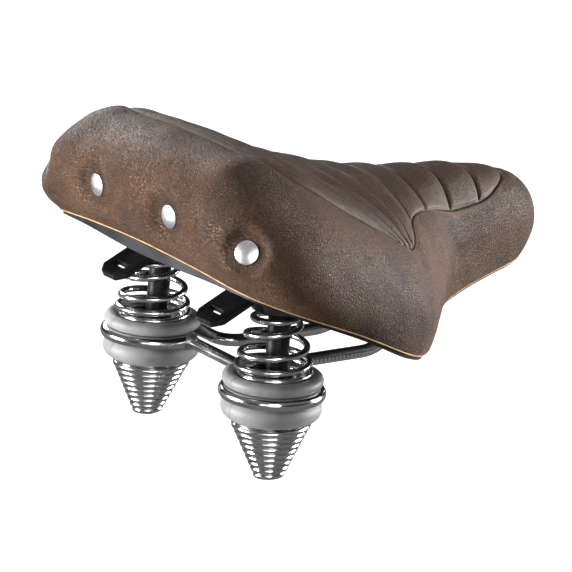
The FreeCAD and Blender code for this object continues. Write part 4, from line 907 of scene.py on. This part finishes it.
MATERIALS = {
    "leather_brown": leather("leather_brown"),
    "leather_panel": leather("leather_panel", panel=True),
    "rail_chrome": chrome("rail_chrome", tone=0.66, rough=0.12, ticks=True),
    "spring_chrome": chrome("spring_chrome", tone=0.70, rough=0.15),
    "weld_metal": steel("weld_metal", tone=0.45, rough=0.30),
    "rivet_nickel": chrome("rivet_nickel", tone=0.93, rough=0.24),
    "elastomer_grey": rubber("elastomer_grey"),
    "black_plastic": plastic("black_plastic", level=12, rough=0.24, grain=0.06, bevel=0.0008),
    "base_plastic": plastic("base_plastic", level=10, rough=0.30, grain=0.22, bevel=0.0006),
    "fastener_steel": steel("fastener_steel", tone=0.5, rough=0.26),
    "foam": yellow_foam("foam_yellow"),
    "edge_cream": cream_piping("edge_cream"),
}
CAD_MATERIALS = {
    "rail_wire_frame": "rail_chrome", "cross_brace": "rail_chrome",
    "brace_weld_collars": "weld_metal",
    "elastomer_left": "elastomer_grey", "elastomer_right": "elastomer_grey",
    "base_shell": "base_plastic",
    "decor_rivets": "rivet_nickel", "rivet_burr_washers": "fastener_steel",
    "suspension_post_left": "black_plastic", "suspension_post_right": "black_plastic",
    "bag_loop_cup_left": "black_plastic", "bag_loop_cup_right": "black_plastic",
    "post_bolts": "fastener_steel", "post_bolt_washers": "fastener_steel",
    "nose_clamp": "base_plastic", "nose_clamp_screws": "fastener_steel",
    "upper_spring_left": "spring_chrome", "upper_spring_right": "spring_chrome",
    "cone_spring_left": "spring_chrome", "cone_spring_right": "spring_chrome",
    "cover": "leather_brown", "ribbed_top_panel": "leather_panel",
    "foam_pad": "foam", "cover_edge_bead": "edge_cream",
}
for name, slot in CAD_MATERIALS.items():
    mesh = NODES[name].data
    mesh.materials.clear()
    mesh.materials.append(MATERIALS[slot])

for obj, slot, stands_for in ((cover, "leather_brown", "cover"),
                              (panel, "leather_panel", "ribbed_top_panel"),
                              (foam, "foam", "foam_pad"),
                              (piping, "edge_cream", "cover_edge_bead")):
    obj.data.materials.append(MATERIALS[slot])
    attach(obj, "seat")
    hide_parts(stands_for)

for spring, kind, side, word in springs:
    spring.data.materials.append(MATERIALS["spring_chrome"])
    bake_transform(spring)
    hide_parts("%s_spring_%s" % (kind, word))


# ------------------------------------------------------------------- studio
def floor_material():
    """Pale floor with a glow to the camera, and a dimmer one in polished parts."""
    mat = Mat("studio_floor")
    grain = mat.noise(scale=900, detail=2, rough=0.5)
    mat.set(base=mat.mix(grain, grey(0.62), grey(0.66)), rough=0.8, spec=0.2)
    ray = mat.node("ShaderNodeLightPath").outputs
    dim = mat.node("ShaderNodeBsdfDiffuse", {"Color": grey(0.14, 0.142)})
    pale = mat.node("ShaderNodeBsdfDiffuse", {"Color": mat.mix(grain, grey(0.34), grey(0.36))})
    glow = mat.node("ShaderNodeEmission", {"Strength": 0.86})
    seen = mat.node("ShaderNodeAddShader", {0: pale.outputs[0], 1: glow.outputs[0]})
    unseen = mat.node("ShaderNodeMixShader", {
        0: ray["Is Glossy Ray"], 1: mat.bsdf.outputs[0], 2: dim.outputs[0]})
    both = mat.node("ShaderNodeMixShader", {
        0: ray["Is Camera Ray"], 1: unseen.outputs[0], 2: seen.outputs[0]})
    mat.put(mat.tree.nodes["Material Output"].inputs["Surface"], both.outputs[0])
    return mat.material


FLOOR_HALF, FLOOR_Z, FLOOR_POINTS = 2600, -52.0, 24
floor_mat = floor_material()
floor_line = np.linspace(-FLOOR_HALF, FLOOR_HALF, FLOOR_POINTS)
floor_x, floor_y = np.meshgrid(floor_line, floor_line, indexing="ij")
floor = mesh_from("studio_floor", xyz_stack(floor_x, floor_y, np.full_like(floor_x, FLOOR_Z)),
                  False, False)
floor.data.materials.append(floor_mat)


def studio_world():
    """White to the camera; a grey gradient by height for everything else."""
    world = bpy.data.worlds.new("studio")
    scene.world = world
    world.use_nodes = True
    nodes, link = world.node_tree.nodes, world.node_tree.links.new
    nodes.clear()
    output = nodes.new("ShaderNodeOutputWorld")
    place = nodes.new("ShaderNodeTexCoord")
    split = nodes.new("ShaderNodeSeparateXYZ")
    link(place.outputs["Generated"], split.inputs[0])
    height = nodes.new("ShaderNodeMapRange")
    link(split.outputs["Z"], height.inputs["Value"])
    height.inputs[1].default_value = -1.0                # from min and max
    height.inputs[2].default_value = 1.0
    ramp = nodes.new("ShaderNodeValToRGB")
    link(height.outputs["Result"], ramp.inputs["Fac"])
    stops = [(0.0, 0.10), (0.44, 0.03), (0.55, 0.03), (0.62, 0.10), (0.74, 0.55), (1.0, 0.75)]
    elements = ramp.color_ramp.elements
    while len(elements) < len(stops):
        elements.new(0.5)
    for element, (position, level) in zip(elements, stops):
        element.position = position
        element.color = grey(level)
    studio = nodes.new("ShaderNodeBackground")
    link(ramp.outputs["Color"], studio.inputs["Color"])
    studio.inputs["Strength"].default_value = 0.30
    white = nodes.new("ShaderNodeBackground")
    white.inputs["Color"].default_value = grey(1)
    white.inputs["Strength"].default_value = 1.0
    ray = nodes.new("ShaderNodeLightPath")
    mix = nodes.new("ShaderNodeMixShader")
    link(ray.outputs["Is Camera Ray"], mix.inputs[0])
    link(studio.outputs[0], mix.inputs[1])
    link(white.outputs[0], mix.inputs[2])
    link(mix.outputs[0], output.inputs["Surface"])


studio_world()

# The camera stands behind the saddle on the rider's right and looks down at it. It is placed
# from a point on the right spring axis, given by its distance along the view and its offsets
# from the line of sight (mm).
HEADING, LOOK_DOWN, ROLL = math.radians(54), math.radians(16.2), math.radians(3.5)
REFERENCE = np.array([SPRING_X, -SPRING_Y, 0.0])
DISTANCE, OFFSET_RIGHT, OFFSET_UP = 1641.025641, -7.179487, -53.589744
LENS = 201.398601
VERTICAL = np.array([0, 0, 1.0])

heading = np.array([math.cos(HEADING), math.sin(HEADING), 0.0])
level_right = np.cross(heading, VERTICAL)


def place_camera():
    view = math.cos(LOOK_DOWN) * heading - math.sin(LOOK_DOWN) * VERTICAL
    level_up = math.sin(LOOK_DOWN) * heading + math.cos(LOOK_DOWN) * VERTICAL
    right = math.cos(ROLL) * level_right + math.sin(ROLL) * level_up
    up = -math.sin(ROLL) * level_right + math.cos(ROLL) * level_up
    eye = (REFERENCE - (view * DISTANCE + right * OFFSET_RIGHT + up * OFFSET_UP)) / 1000.0
    data = bpy.data.cameras.new("camera")
    data.sensor_width = 36.0
    data.lens = LENS
    data.clip_start, data.clip_end = 0.05, 20.0
    camera = bpy.data.objects.new("camera", data)
    scene.collection.objects.link(camera)
    turn = Matrix(np.stack([right, up, -view], 1).tolist())
    camera.matrix_world = Matrix.Translation(Vector(eye)) @ turn.to_4x4()
    scene.camera = camera


place_camera()

# Metres toward the camera, to its left and up; width, height; power in watts
LIGHTS = [
    ("key_top", (0.0, 0.25, 1.15), (0.8, 0.6), 3.6),
    ("left_strip", (0.25, 1.25, 0.0), (0.60, 0.5), 84.0),
    ("right_strip", (-0.45, -1.25, 0.30), (0.60, 0.8), 58.0),
    ("front_fill", (1.5, 0.1, 0.35), (1.0, 0.6), 4.0),
    ("back_rim", (-1.1, 0.6, 0.50), (0.7, 0.3), 10.0),
    ("chrome_card", (1.25, -0.15, 0.30), (0.45, 0.9), 7.0),
]
LIGHT_TARGET = Vector((0.0, 0.0, 0.05))
for name, (toward, left, up), (width, height), power in LIGHTS:
    data = bpy.data.lights.new(name, "AREA")
    data.shape = "RECTANGLE"
    data.size = width
    data.size_y = height
    data.energy = power
    light = bpy.data.objects.new(name, data)
    scene.collection.objects.link(light)
    light.location = Vector(-heading * toward - level_right * left + VERTICAL * up)
    light.rotation_mode = "QUATERNION"
    light.rotation_quaternion = (LIGHT_TARGET - light.location).to_track_quat("-Z", "Y")
    light.visible_diffuse = name != "chrome_card"        # the card shows only in reflections
